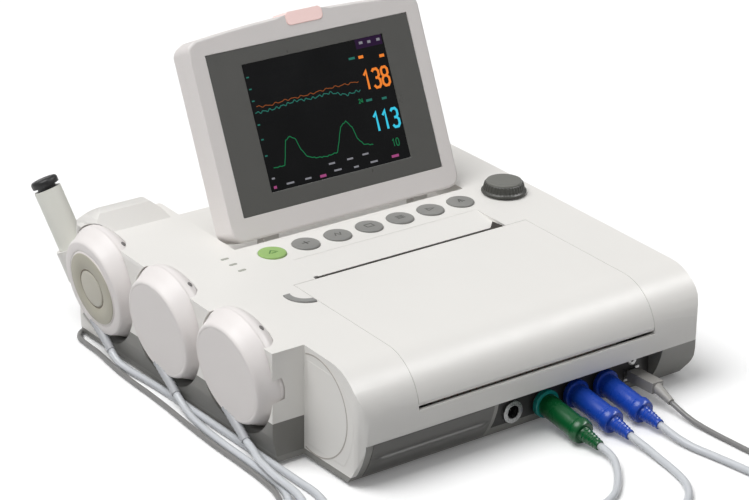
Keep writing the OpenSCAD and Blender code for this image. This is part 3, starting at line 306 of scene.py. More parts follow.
def painted_shade_below(material, height, dark):
    """Painted shade: under that height in millimetres the colour turns to the dark one over a tenth, darkening the low
    part of the bay where shade falls.
    """
    tree = material.node_tree
    shader = tree.nodes["Principled BSDF"]
    upper = shader.inputs["Base Color"].links[0].from_socket
    place = added(tree, "SeparateXYZ", Vector=added(tree, "TexCoord").outputs["Object"])
    step = added(tree, "MapRange", Value=place.outputs["Z"], From_Min=(height + 0.05) * mm,
                 From_Max=(height - 0.05) * mm)
    wire(shader, Base_Color=added(tree, "MixRGB", step, upper, dark))


# Painted shade: the bay's white turns grey below 30 millimetres for the shade between and under the transducers.
painted_shade_below(bay_plastic_painted_shade, 30, ink(122, 121, 117))
dressed("top_housing", "housing", white_plastic)
dressed("transducer_bay", "housing", bay_plastic_painted_shade)
dressed("marker_holder", "housing", white_plastic)


# Left end of the roll, and the lifting rail.
# A flat ABS cover snaps into the end of the roll and carries one fine moulded ring. Left of the connectors
# the base has a rounded rail under the roll, moulded with it, to lift the monitor by.
front = -149.0
lip_r, roll_r, roll_z = 61, 34, 42.5


def top_z(y):
    """Height of the sloping top: 76.5 above the roll, rising 9.5 over the 264 millimetres behind it."""
    return 76.5 + (y - front - roll_r) * 9.5 / 264


def solid(name, verts, faces, finish, corner=35):
    """A closed mesh from points in millimetres, normals turned outwards, smooth under corner degrees."""
    mesh = bpy.data.meshes.new(name)
    mesh.from_pydata((np.asarray(verts, float) * mm).tolist(), [], faces)
    tidy = bmesh.new()
    tidy.from_mesh(mesh)
    bmesh.ops.remove_doubles(tidy, verts=tidy.verts, dist=1e-6)
    bmesh.ops.recalc_face_normals(tidy, faces=tidy.faces)
    tidy.to_mesh(mesh)
    tidy.free()
    mesh.shade_smooth()
    mesh.set_sharp_from_angle(angle=math.radians(corner))
    mesh.materials.append(finish)
    piece = bpy.data.objects.new(name, mesh)
    scene.collection.objects.link(piece)
    return piece


def ring_quads(rings, sides):
    """Quads between rings laid one on the next, the last point of each ring joined to its first."""
    i, k = np.meshgrid(np.arange(rings - 1), np.arange(sides), indexing="ij")
    a = (i * sides + k).ravel()
    b = (i * sides + (k + 1) % sides).ravel()
    return np.stack([a, b, b + sides, a + sides], axis=1).tolist()


def stacked(rings):
    """Points and faces of rings of equal count laid one on the next, each end closed by one face."""
    rings = np.asarray(rings, float)
    n, m = rings.shape[:2]
    return rings.reshape(-1, 3), ring_quads(n, m) + [list(range(m))[::-1], list(range((n - 1) * m, n * m))]


def side_outline(inset):
    """Side view of the lip and the roll, inset, as rows of Y and Z: the lip's arc below the roll's middle,
    then the roll's."""
    lip, roll = lip_r - inset, roll_r - inset
    a = np.linspace(math.pi + math.asin((39.5 - inset) / lip), math.pi, 13)
    b = np.linspace(math.pi, math.pi / 2, 25)[1:]
    y = np.concatenate([front + lip_r + lip * np.cos(a), front + roll_r + roll * np.cos(b)])
    return np.stack([y, roll_z + np.concatenate([lip * np.sin(a), roll * np.sin(b)])], axis=1)


roll_left = -125.5
cap_inset, cap_rear = 8.7, front + 57.8
cover = np.vstack([side_outline(cap_inset), [[cap_rear, top_z(cap_rear) - cap_inset],
                                             [cap_rear, 3 + cap_inset]]])
cover = np.insert(cover, 0, roll_left, axis=1)
soft_white = moulded("soft_white", shell_white, 0.45, 0.8, mottle=0.012, edge=0.6)
disc = solid("end_cap_cover", *stacked([cover - [0.04, 0, 0], cover + [1.3, 0, 0]]), soft_white)
mounted(disc, "housing", "left_end_cap", "left_end_cap")
seam_grey = moulded("seam_grey", ink(186, 180, 174), 0.5, bump=0.04, edge=0)
turn = np.radians(np.linspace(72, 288, 73))[:, None]
reach = 33.2 + np.array([-0.45, 0.45, 0.45, -0.45])
ring_path = np.stack([roll_left + np.array([-0.14, -0.14, 0.2, 0.2]) + 0 * turn,
                      front + 48.7 + reach * np.cos(turn), 40.6 + reach * np.sin(turn)], axis=2)
moulded_ring = solid("end_cap_ring", *stacked(ring_path), seam_grey)
mounted(moulded_ring, "housing", "left_end_cap")


def rail_rings(from_x, to_x):
    """Rings across the rail: the lip's arc, with a ledge 1.9 deep at 18.8 above the table that fades over 8
    at each end."""
    x = np.linspace(from_x, to_x, 47)[:, None]
    z = np.concatenate([np.linspace(5.5, 16, 8), np.linspace(16.5, 22, 16), np.linspace(23, 30.6, 6)])
    ledge = 1.9 * np.exp(-((z - 18.8) / np.where(z > 18.8, 1.1, 4.5)) ** 2)
    fade = np.clip(np.minimum(x - from_x, to_x - x) / 8, 0, 1)
    lip = front + lip_r - np.sqrt(lip_r ** 2 - (roll_z - z) ** 2)
    outer = np.stack([x + 0 * z, lip - 0.25 - ledge * fade ** 2 * (3 - 2 * fade), z + 0 * x], axis=2)
    inner = np.stack([x + 0 * z, lip + 0.6 + 0 * x, z + 0 * x], axis=2)[:, ::-1]
    return np.concatenate([outer, inner], axis=1)


# Painted shade: the rail is coloured darker than the base it is moulded with, for the shade under the roll's overhang.
rail_painted_shade = moulded("rail_painted_shade", ink(92, 91, 88), 0.4, 0.9, 0.1, 0.05, edge=0)
rail = solid("lifting_rail", *stacked(rail_rings(-116.2, -23.2)), rail_painted_shade)
mounted(rail, "housing", "base_walls")


# Front connectors.
# A recessed panel, darker than the base, carries four nickel-plated round sockets, the spare one showing its
# black insert and pins, a rectangular jack for the event marker and a small round jack above it.
nickel = metal("nickel", ink(170, 170, 170), 0.28)
panel_grey = moulded("panel_grey", ink(56, 55, 54), grain=0.9, bump=0.12, mottle=0.07, edge=0)
black_plastic = moulded("black_plastic", ink(34, 34, 35), 0.4, bump=0.06, mottle=0.1, edge=0.5)
dressed("connector_panel", "housing", panel_grey)
dressed("transducer_sockets", "housing", nickel)
dressed("front_jacks", "housing", nickel)

panel_y = -135.0
socket_z = 15.0
socket_x = [1, 26, 51, 76]
pin_circle = 2.4


def turned(name, profile, origin, axis, finish, sides=48):
    """A profile of (radius, distance along the axis) in millimetres swung round the axis. Points of zero
    radius close to a pole, and the mesh is smooth except across corners over 35 degrees."""
    axis = np.asarray(axis, float) / np.linalg.norm(axis)
    side = np.cross((0, 0, 1), axis)
    if np.linalg.norm(side) < 1e-6:
        side = np.cross((1, 0, 0), axis)
    side /= np.linalg.norm(side)
    over = np.cross(axis, side)
    r, h = np.array(profile, float).T
    a = np.linspace(0, 2 * np.pi, sides, endpoint=False)
    ring = np.cos(a)[:, None] * side + np.sin(a)[:, None] * over
    verts = np.asarray(origin, float) + h[:, None, None] * axis + r[:, None, None] * ring[None]
    return solid(name, verts.reshape(-1, 3), ring_quads(len(profile), sides), finish)


insert = turned("socket_insert", [(0, 6), (3.9, 6), (4.4, 5.5), (4.4, 0), (0, 0)],
                (socket_x[0], panel_y + 13.8, socket_z), (0, -1, 0), black_plastic)
mounted(insert, "housing", "black_plastic")
for k in range(6):
    a = math.radians(60 * k + 30)
    pin = turned("socket_pin_" + str(k + 1), [(0, 5), (0.35, 4.7), (0.5, 4.2), (0.5, 0), (0, 0)],
                 (socket_x[0] + pin_circle * math.cos(a), panel_y + 7.9, socket_z + pin_circle * math.sin(a)),
                 (0, -1, 0), nickel, sides=10)
    mounted(pin, "housing", "nickel")


# Electronics.
# Boards and an open power supply in the green of glass-epoxy, parts and all, a black loudspeaker over the
# slots in the floor, and the mains inlet, data ports and earth stud on the rear wall.
circuit_board = moulded("circuit_board", ink(28, 92, 52), 0.35, 2.5, 0.3, 0.25, edge=0.5)
for name in ("main_board", "power_supply", "key_board"):
    coat_of(name, circuit_board)
coat_of("speaker", black_plastic)
dressed("rear_connectors", "housing", black_plastic)


# Paper recorder.
# A grey glass-filled frame under the lid carries a pack of folded paper, a ceramic thermal head, a toothed
# tear bar and a small motor. The rubber platen hangs in the lid and presses the paper on the head.
grey_inner = moulded("grey_inner_plastic", ink(148, 150, 154), 0.55, 1.2, 0.15, 0.05, edge=0.5)
gear_nylon = moulded("gear_nylon", ink(222, 219, 208), 0.4, 0.8, edge=0.1)
head_ceramic = moulded("head_ceramic", ink(205, 200, 188), 0.25, 0.5, 0.04, 0.05, edge=0.5)
dressed("printer_frame", "housing", grey_inner)
dressed("print_head", "housing", head_ceramic)
dressed("paper_motor", "housing", screw_steel)
dressed("motor_pinion", "pinion", gear_nylon, corner=50)
dressed("platen_roller", "platen", black_rubber)
printer_x = 12.3
pack_z = 38.1


def paper_finish():
    """Pale pink thermal paper with a fine red grid, ruled every 5 millimetres in soft-edged lines."""
    material, tree, shader = blank("recording_paper")
    place = added(tree, "TexCoord").outputs["Object"]
    fibres = added(tree, "TexNoise", Vector=place, Scale=1 / (0.4 * mm), Detail=3)
    spread = added(tree, "MapRange", Value=fibres, To_Min=0.7, To_Max=0.9)
    skin = added(tree, "Bump", Strength=0.1, Distance=0.0001, Height=fibres)
    lines = []
    for axis in ("X", "Y"):
        wave = added(tree, "TexWave", Vector=place, Scale=1 / (5 * mm) * 0.05 * 2 * math.pi)
        wave.bands_direction = axis
        lines.append(added(tree, "MapRange", Value=wave.outputs["Fac"], From_Min=0.96))
    either = added(tree, "Math", *lines)
    either.operation = "MAXIMUM"
    tone = added(tree, "MixRGB", either, ink(243, 232, 228), ink(226, 150, 140))
    wire(shader, Base_Color=tone, Roughness=spread, Normal=skin)
    return material


def folded_pack(w, d, h, low, folds):
    """A pack of folds leaves: the front and rear edges bulge at each fold by a small seeded amount."""
    draw = np.random.default_rng(7)
    z = np.linspace(0, h, folds * 2 + 1)
    out = np.where(np.arange(len(z)) % 2 == 1, 0.0, -0.35)[:, None] - draw.uniform(0, 0.25, (len(z), 2))
    x = w / 2 - 0.2 - draw.uniform(0, 0.25, len(z))
    return stacked([[(printer_x + side * x[i], y, pack_z + z[i]) for side, y in
                     ((-1, low - out[i, 0]), (1, low - out[i, 0]), (1, low + d + out[i, 1]),
                      (-1, low + d + out[i, 1]))] for i in range(len(z))])


folds = folded_pack(150, 94, 14.8, front + 14, 30)
paper = solid("paper_pack_folds", *folds, paper_finish(), corner=20)
mounted(paper, "housing", "paper_pack", "paper_pack")


def strip_faces(m):
    """Faces of a strip with a rectangular section, whose four long edges are rows of m points: the first two
    rows bound one broad side, the other two the opposite one."""
    k = np.arange(m - 1)
    sides = ((k, k + 1, k + 1 + m, k + m), (k, k + 2 * m, k + 1 + 2 * m, k + 1),
             (k + m, k + 1 + m, k + 1 + 3 * m, k + 3 * m),
             (k + 2 * m, k + 3 * m, k + 1 + 3 * m, k + 1 + 2 * m))
    ends = [[0, m, 3 * m, 2 * m], [m - 1, 3 * m - 1, 4 * m - 1, 2 * m - 1]]
    return np.vstack([np.stack(side, axis=1) for side in sides]).tolist() + ends


def toothed_bar(from_x, to_x, y, z_low, z_high, thick, pitch):
    """A strip whose upper edge is a row of triangles one pitch apart, given its thickness to the back."""
    n = int((to_x - from_x) / pitch)
    x = np.linspace(from_x, to_x, 2 * n + 1)
    z = np.where(np.arange(2 * n + 1) % 2 == 1, z_high, z_high - pitch * 0.6)
    top = np.stack([x, np.full_like(x, y), z], axis=1)
    low = top * [1, 1, 0] + [0, 0, z_low]
    return np.vstack([top, low, top + [0, thick, 0], low + [0, thick, 0]]), strip_faces(len(x))


slot_y = front + 132.7
tear_steel = metal("tear_steel", ink(96, 92, 88), 0.45, stretch=(0.1, 1, 1))
teeth = toothed_bar(printer_x - 76, printer_x + 76, slot_y + 1, 74, top_z(slot_y) + 0.6, 1.2, 1)
bar = solid("tear_bar_teeth", *teeth, tear_steel)
mounted(bar, "housing", "tear_bar", "tear_bar")
guide_x = np.array([77.5, 88.8, 87.4])
guide_y = np.array([-15.2, -15.2, -5.5])
guide = solid("paper_guide", *stacked([np.stack([guide_x, guide_y, top_z(guide_y) - depth], axis=1)
                                       for depth in (4, 0.2)]), tear_steel)
mounted(guide, "housing", "tear_bar")
dressed("paper_lid", "lid", white_plastic)
latch_grey = moulded("latch_grey", ink(150, 150, 148), 0.4, bump=0.06, edge=0.4)
dressed("lid_latch", "latch", latch_grey)


# Keys, lights and knob.
# Seven round caps moulded in satin plastic, one green and six grey, each with a small printed symbol. Three
# pale light pipes stand left of them, and a charcoal knob with a ribbed skirt and a grey cap right of them.
key_grey = moulded("key_grey", ink(138, 138, 135))
key_green = moulded("key_green", ink(154, 190, 112))
symbol_grey = moulded("symbol_grey", ink(84, 84, 82), 0.5, bump=0.02, mottle=0.02, edge=0)
symbol_green = moulded("symbol_green", ink(70, 120, 50), 0.5, bump=0.02, mottle=0.02, edge=0)
green_key_x, grey_key_x, key_step = -67.2, -40.4, 25.8
key_y = front + 180
key_top = float(top_z(key_y))
key_under = key_top - 2.5
board_z, board_t, switch_h = 66, 1.6, 5
stem_z = board_z + board_t + switch_h + 1.4
cap_profile = [(0, stem_z), (2.5, stem_z), (2.5, key_under - 1.7), (10.7, key_under - 1.7),
               (10.7, key_under - 0.3), (9.5, key_under - 0.3), (9.5, key_top + 0.7), (9.42, key_top + 0.95),
               (9.2, key_top + 1.16), (8.85, key_top + 1.3), (8.3, key_top + 1.36), (6, key_top + 1.38),
               (3, key_top + 1.4), (0, key_top + 1.4)]


def ribbon(line, width, height):
    """A flat strip that keeps width across a line of (u, v) points, mitred at its corners, of that height."""
    p = np.asarray(line, float)
    way = np.diff(p, axis=0)
    way /= np.linalg.norm(way, axis=1)[:, None]
    before = np.vstack([way[:1], way])
    after = np.vstack([way, way[-1:]])
    bisect = before + after
    bisect /= np.maximum(np.linalg.norm(bisect, axis=1), 0.2)[:, None]
    grow = 1 / np.maximum((bisect * after).sum(1), 0.55)
    out = np.stack([-bisect[:, 1], bisect[:, 0]], axis=1) * (width / 2 * grow)[:, None]
    flat = np.vstack([p + out, p - out])
    top = np.hstack([flat, np.full((len(flat), 1), height)])
    low = np.hstack([flat, np.zeros((len(flat), 1))])
    return np.vstack([top, low]), strip_faces(len(p))


def joined(parts):
    """Several lists of points and faces put into one."""
    verts, faces, count = [], [], 0
    for points, quads in parts:
        verts.append(points)
        faces += [[v + count for v in f] for f in quads]
        count += len(points)
    return np.vstack(verts), faces


symbols = {
    "green_key": [[(-3.4, -1.8), (0, 2.2), (3.4, -1.8)], [(-2, -1.9), (2, -1.9)]],
    "grey_key_1": [[(-3, 0), (3, 0)], [(0, -2.6), (0, 2.6)]],
    "grey_key_2": [[(-3, -2), (-1, 2), (1, -2), (3, 2)]],
    "grey_key_3": [[(-2.8, -2.2), (-2.8, 2.2), (2.8, 2.2), (2.8, -2.2), (-2.8, -2.2)]],
    "grey_key_4": [[(-3, 1.8), (3, 1.8)], [(-3, 0), (3, 0)], [(-3, -1.8), (3, -1.8)]],
    "grey_key_5": [[(-2.8, -2), (2.8, 0), (-2.8, 2), (-2.8, -2)]],
    "grey_key_6": [[(-2.4, -2), (0, 2.4), (2.4, -2)], [(0, 2.2), (0, -2.6)]]}
for k, (key, lines) in enumerate(symbols.items()):
    key_x = grey_key_x + key_step * (k - 1) if k else green_key_x
    cap_finish, symbol_finish = (key_grey, symbol_grey) if k else (key_green, symbol_green)
    cap = turned(key + "_cap", cap_profile, (key_x, key_y, 0), (0, 0, 1), cap_finish, sides=72)
    mounted(cap, key, key, key)
    points, faces = joined([ribbon(line, 0.9, 0.06) for line in lines])
    sign = solid(key + "_symbol", points + [key_x, key_y, key_top + 1.38], faces, symbol_finish)
    mounted(sign, key, key)

light_pipe = moulded("light_pipe", ink(176, 178, 168), 0.25, bump=0.02, edge=0.2)
dressed("status_lights", "housing", light_pipe)
charcoal = moulded("charcoal_plastic", ink(70, 70, 66), 0.36, 0.7, 0.1, 0.08, edge=0.2)
knob_cap_finish = moulded("knob_cap", ink(118, 118, 113), 0.33, 0.5, mottle=0.05, edge=0.2)
knob_x, knob_y, knob_r = 124.7, front + 177.5, 15.75
knob_base = float(top_z(knob_y + knob_r)) + 0.4


def knob_body(r_foot, r_mid, r_top, ribs):
    """A skirt of ribs: the radius swings by a cosine of the angle, most at mid height, none at the ends."""
    heights = np.array([0, 0.5, 1.3, 1.8, 2.3, 3.2, 4.4, 5.6, 6.6, 7.1, 7.4])
    radii = np.concatenate([r_foot - np.array([0.3, 0, 0, 0.5]),
                            r_mid - np.array([0, 0.25, 0.5, 0.75, 1.0, 1.3]), [r_top + 0.2]])
    swing = np.array([0, 0, 0, 0, 0.18, 0.3, 0.3, 0.3, 0.2, 0, 0])
    a = np.linspace(0, 2 * np.pi, ribs * 6, endpoint=False)
    r = radii[:, None] + swing[:, None] * np.cos(ribs * a)[None]
    shape = (len(heights), len(a))
    return stacked(np.stack([knob_x + r * np.cos(a), knob_y + r * np.sin(a),
                             np.broadcast_to(knob_base + heights[:, None], shape)], axis=2))


skirt = solid("knob_skirt", *knob_body(knob_r, 14.4, 12.2, 36), charcoal, corner=50)
mounted(skirt, "knob", "knob", "knob")
disc_profile = [(0, 6), (12.6, 6), (12.6, 7.6), (12.2, 8.2), (11.4, 8.5), (9, 8.5), (6, 8.3), (0, 8.2)]
knob_disc = turned("knob_disc", disc_profile, (knob_x, knob_y, knob_base), (0, 0, 1), knob_cap_finish, 96)
mounted(knob_disc, "knob", "knob")


# Display.
# A white frame and cover, moulded apart and screwed together, with a rounded rim. A charcoal printed glass
# fills the front around a 5.7 inch panel, and a pale red lens for the alarm lamp is let into the top edge.
lean = math.radians(23.7)
hinge = np.array([9.8, front + 206.95, 85.3])
hinge_depth, hinge_up = 7.5, 3.5


def on_display(points):
    """Points of (across, depth, up the face) turned by the lean about the hinge into the common frame."""
    p = np.asarray(points, float)
    depth = p[..., 1] - hinge_depth
    up = p[..., 2] - hinge_up
    return np.stack([hinge[0] + p[..., 0], hinge[1] + depth * math.cos(lean) + up * math.sin(lean),
                     hinge[2] - depth * math.sin(lean) + up * math.cos(lean)], axis=-1)


def off_display(point):
    """The other way round: a point of the common frame as (across, depth, up the face)."""
    y, z = point[1] - hinge[1], point[2] - hinge[2]
    return (point[0] - hinge[0], y * math.cos(lean) - z * math.sin(lean) + hinge_depth,
            y * math.sin(lean) + z * math.cos(lean) + hinge_up)


def on_front_rim(point):
    """Whether a point lies on the outline of the frame's front face, outside the glass."""
    x, t, s = off_display(point)
    return t < 0.05 and (abs(x) > 84 or s < 14 or s > 126) and not (abs(x) < 16 and s > 126)


def on_rear_rim(point):
    """Whether a point lies on the outline of the cover's rear half, away from its louvres and screw holes."""
    x, t, s = off_display(point)
    return t > 15.4 and (abs(x) > 88 or s < 6.5 or s > 126)


frame_white = moulded("frame_white", ink(235, 230, 228), grain=0.8, mottle=0.012, edge=0.5)
dressed("display_frame", "display", frame_white, rim=on_front_rim, width=1.6)
dressed("display_cover", "display", frame_white, rim=on_rear_rim, width=1.2)
coat_of("display_panel", black_plastic)
dressed("display_screws", "display", screw_steel)
glass_border = moulded("glass_border", ink(92, 92, 89), 0.3, 0.35, 0.03, 0.02, edge=0.15)
glass_w, glass_h, glass_low = 164.3, 109.0, 15.5
picture_w, picture_h, picture_low, picture_dx = 115.2, 86.4, 27.4, 1.2
glass_mid, picture_mid = glass_low + glass_h / 2, picture_low + picture_h / 2


def rounded(w, h, r, n):
    """A rectangle w by h about its middle, its corners rounded by arcs of n points and radius r."""
    a = np.radians(np.concatenate([np.linspace(q, q + 90, n) for q in (0, 90, 180, 270)]))
    return (np.repeat([1, -1, -1, 1], n) * (w / 2 - r) + r * np.cos(a),
            np.repeat([1, 1, -1, -1], n) * (h / 2 - r) + r * np.sin(a))


def box_ring(w, h, across, up, r, t):
    """A rounded rectangle about a middle on the display's face, as points at depth t."""
    x, s = rounded(w, h, r, 6)
    return on_display(np.stack([across + x, np.full_like(x, t), up + s], axis=1))


def looped(rings):
    """Rings stacked into a closed loop: the last is joined to the first, and no end is capped."""
    points, faces = stacked(rings)
    m = len(rings[0])
    last = len(points) - m
    return points, faces[:-2] + [[k, (k + 1) % m, (k + 1) % m + last, k + last] for k in range(m)]


border_rings = [box_ring(glass_w - cut, glass_h - cut, 0, glass_mid, 2, t)
                for cut, t in ((0, 1.7), (0, 0.5), (0.5, 0.25))]
border_rings += [box_ring(picture_w + gap, picture_h + gap, picture_dx, picture_mid, r, t)
                 for gap, r, t in ((0.6, 0.8, 0.25), (0, 0.6, 0.55), (0, 0.6, 1.7))]
border = solid("glass_border", *looped(border_rings), glass_border)
mounted(border, "display", "display_glass", "display_glass")


def pane_finish():
    """Black liquid crystal behind polished glass: almost no colour of its own, under a faint gloss."""
    material, tree, shader = blank("picture_black")
    place = added(tree, "TexCoord").outputs["Object"]
    cells = added(tree, "TexNoise", Vector=place, Scale=1 / (30 * mm))
    tone = added(tree, "MixRGB", cells, ink(5, 6, 7), ink(13, 14, 16))
    spread = added(tree, "MapRange", Value=cells, To_Min=0.17, To_Max=0.27)
    wire(shader, Base_Color=tone, Roughness=spread, Specular_IOR_Level=0.25)
    return material


def lit(name, red, green, blue):
    """Ink that glows in its own colour, as a lit patch of the picture does."""
    material, _, shader = blank(name)
    wire(shader, Base_Color=(0, 0, 0, 1), Specular_IOR_Level=0, Emission_Color=ink(red, green, blue),
         Emission_Strength=1)
    return material


pane_rings = [box_ring(picture_w - 0.1, picture_h - 0.1, picture_dx, picture_mid, 0.6, t) for t in (1.2, 0.9)]
pane = solid("picture_pane", *stacked(pane_rings), pane_finish())
mounted(pane, "display", "display_panel")


def drawn(name, lines, width, finish, lift=0.0):
    """Lines given from the picture's top left corner, right and down, laid on the pane as thin ribbons."""
    points, faces = joined([ribbon([(u, -v) for u, v in line], width, 0.04) for line in lines])
    place = np.stack([picture_dx - picture_w / 2 + points[:, 0], 0.88 - lift - points[:, 2],
                      picture_low + picture_h + points[:, 1]], axis=1)
    piece = solid(name, on_display(place), faces, finish)
    return mounted(piece, "display", "display_panel")


def wavy(line, ripple, length, step=0.5):
    """A line resampled every step with a ripple of that height: two sines, 1.7 apart in pace, as a heart rate
    varies."""
    u, v = np.asarray(line, float).T
    along = np.arange(u[0], u[-1], step)
    beat = ripple * (np.sin(along * 2 * np.pi / length) + 0.5 * np.sin(along * 2 * np.pi / length * 1.7 + 1))
    return list(zip(along, np.interp(along, u, v) + beat))


digits = {
    "1": [[(0.18, 0.22), (0.55, 0), (0.55, 1)]],
    "3": [[(0.1, 0.12), (0.3, 0), (0.72, 0), (0.92, 0.14), (0.92, 0.36), (0.7, 0.48), (0.4, 0.48)],
          [(0.4, 0.48), (0.72, 0.48), (0.95, 0.62), (0.95, 0.86), (0.72, 1), (0.28, 1), (0.06, 0.86)]],
    "8": [[(0.3, 0.47), (0.1, 0.34), (0.1, 0.12), (0.3, 0), (0.7, 0), (0.9, 0.12), (0.9, 0.34), (0.7, 0.47),
           (0.3, 0.47), (0.06, 0.62), (0.06, 0.86), (0.3, 1), (0.7, 1), (0.94, 0.86), (0.94, 0.62),
           (0.7, 0.47)]],
    "2": [[(0.08, 0.18), (0.28, 0), (0.7, 0), (0.92, 0.16), (0.92, 0.34), (0.08, 1), (0.95, 1)]],
    "4": [[(0.72, 1), (0.72, 0), (0.05, 0.68), (0.98, 0.68)]],
    "0": [[(0.3, 0), (0.7, 0), (0.93, 0.2), (0.93, 0.8), (0.7, 1), (0.3, 1), (0.07, 0.8), (0.07, 0.2),
           (0.3, 0)]]}


def number(text, left, top, high, wide):
    """The strokes of a row of digits, each wide by high, from the picture's top left corner."""
    return [[(left + k * wide * 1.22 + u * wide, top + v * high) for u, v in stroke]
            for k, digit in enumerate(text) for stroke in digits[digit]]


orange = lit("picture_orange", 240, 132, 52)
cyan = lit("picture_cyan", 62, 200, 230)
teal = lit("picture_teal", 44, 110, 98)
rust = lit("picture_rust", 140, 76, 40)
green = lit("picture_green", 30, 112, 70)
pale = lit("picture_pale", 132, 132, 138)
pink = lit("picture_pink", 158, 74, 124)
violet = lit("picture_violet", 44, 28, 54)
dim = lit("picture_dim", 22, 24, 27)
drawn("number_upper", number("138", 91.8, 22.3, 12.6, 6.2), 1.75, orange)
drawn("number_lower", number("113", 91.8, 51.3, 12.6, 6.2), 1.75, cyan)
drawn("trace_upper", [wavy([(4, 29), (14, 30), (28, 29), (46, 29), (63, 28), (76, 28), (88, 28)], 0.45, 7)],
      0.5, rust)
drawn("trace_middle", [wavy([(2, 33), (17, 33), (35, 31), (48, 32), (63, 31), (76, 35), (88, 34)], 0.6, 5)],
      0.6, teal)
drawn("trace_lower", [wavy([(6, 71), (15, 71), (20, 55), (24, 53), (28, 56), (30, 63), (34, 69), (40, 71),
                            (49, 72), (58, 71), (65, 55), (70, 52), (74, 57), (76, 65), (80, 70), (88, 72)],
                           0.2, 4)], 0.6, green)
drawn("small_numbers", number("24", 84, 40, 2.6, 1.6) + number("10", 103, 71.5, 5, 2.6), 0.7, green)
drawn("rate_labels", [[(90, 42), (95, 42)], [(103, 43), (107, 43)], [(84, 12), (89, 12)]], 1.6, teal)
drawn("rate_marks", [[(92, 12.4), (96, 12.4)], [(109, 14.5), (113, 14.5)]], 2.0, orange)
drawn("corner_band", [[(92, 3.5), (114, 3.5)]], 6.6, violet, lift=-0.02)
drawn("corner_marks", [[(95, 3), (98, 3)], [(102, 3.4), (104.6, 3.4)], [(109.6, 3.2), (112.4, 3.2)]],
      1.8, pale)
drawn("foot_marks", [[(u, v), (u + w, v)] for u, v, w in
                     ((2.6, 77.6, 2.4), (13, 83.2, 6), (28, 83.2, 5), (49, 77.4, 5), (52, 82.6, 6),
                      (64, 77.4, 5), (77, 76.8, 5), (68, 83.6, 4), (82, 83.2, 6))], 1.2, pale)
drawn("foot_pinks", [[(40, 84), (45, 84)], [(100, 83), (106, 83)], [(2.6, 83.6), (5, 83.6)]], 1.8, pink)
drawn("scale_marks", [[(1.6, v), (3.6, v)] for v in (9, 17, 25, 41, 51, 62)], 0.9, teal)
drawn("grid_lines", [[(5, v), (88, v)] for v in (9, 17, 25, 41)] + [[(u, 6), (u, 45)] for u in (26, 47, 68)],
      0.15, dim)
lens_red = moulded("alarm_lens", ink(255, 226, 222), 0.3, 1.5, 0.04, coat=0.3, edge=0.6)
wire(lens_red.node_tree.nodes["Principled BSDF"], Emission_Color=ink(255, 206, 200), Emission_Strength=0.22)
dressed("alarm_lamp", "display", lens_red)


# Transducers.
# Three sealed discs in white ABS stand in the bay: two ultrasound ones with a flat face and, at the rear, a
# pressure one with a beige ring and pad. Each has a domed back with a button for its belt.
bay_tilt = math.radians(9)
bay_axis = np.array([-math.cos(bay_tilt), 0, -math.sin(bay_tilt)])
puck_at = [np.array([-156, y, 50.0]) for y in (-48.5, 32.0, 112.5)]
puck_white = moulded("puck_white", ink(240, 235, 233), bump=0.04, mottle=0.012)
beige = moulded("beige_plastic", ink(190, 186, 170), 0.5)
pad_beige = moulded("pad_beige", ink(206, 202, 189), 0.5)
# Painted shade: the strain reliefs are of the transducers' white plastic, and their grey stands in for the shade under
# the discs.
relief_painted_shade = moulded("relief_painted_shade", ink(176, 178, 182), 0.45, 0.5, mottle=0.05)
stud_grey = moulded("dot_grey", ink(120, 118, 116), 0.5, 0.4, mottle=0.05, edge=0)
groove_brown = moulded("groove_brown", ink(140, 128, 112), 0.55, edge=0)
brass = metal("brass_disc", ink(196, 164, 96), 0.3)
coat_of("transducer_sensors", brass)
face_profile = [(0, -4.5), (30, -4.5), (37, -12.9), (39.5, -13), (39.45, -12.4), (38.9, -10.9), (36.6, -7),
                (34.9, -3.6), (34.2, -1.8), (33.6, -0.8), (33, -0.25), (32.4, -0.04), (31.8, 0), (31.2, 0),
                (31, -0.14), (30.7, -0.14), (30.5, 0), (30.3, 0), (28, 0), (0, 0)]
pressure_profile = [(13.3, -4.5)] + face_profile[1:12] + [
    (27.4, 0), (27.1, -0.3), (26.3, -0.3), (26, 0.15), (25.4, 0.35), (15, 0.35), (13.9, 0.3), (13.3, -0.1),
    (13.3, -4.5)]
flank_profile = [(0, -26.4), (26.5, -23.8), (36.1, -17.6), (37.1, -13.1), (39.5, -13.1), (39.5, -15),
                 (39.2, -16.8), (38.5, -18), (37, -20.2), (35, -22), (31.8, -24.2), (28, -26), (24, -27.4),
                 (20.5, -28.5), (15, -29.2), (10.5, -29.5), (7.5, -29.5), (7.5, -33.3), (10.6, -33.3),
                 (11, -33.7), (11, -36.5), (10.5, -37), (0, -37)]
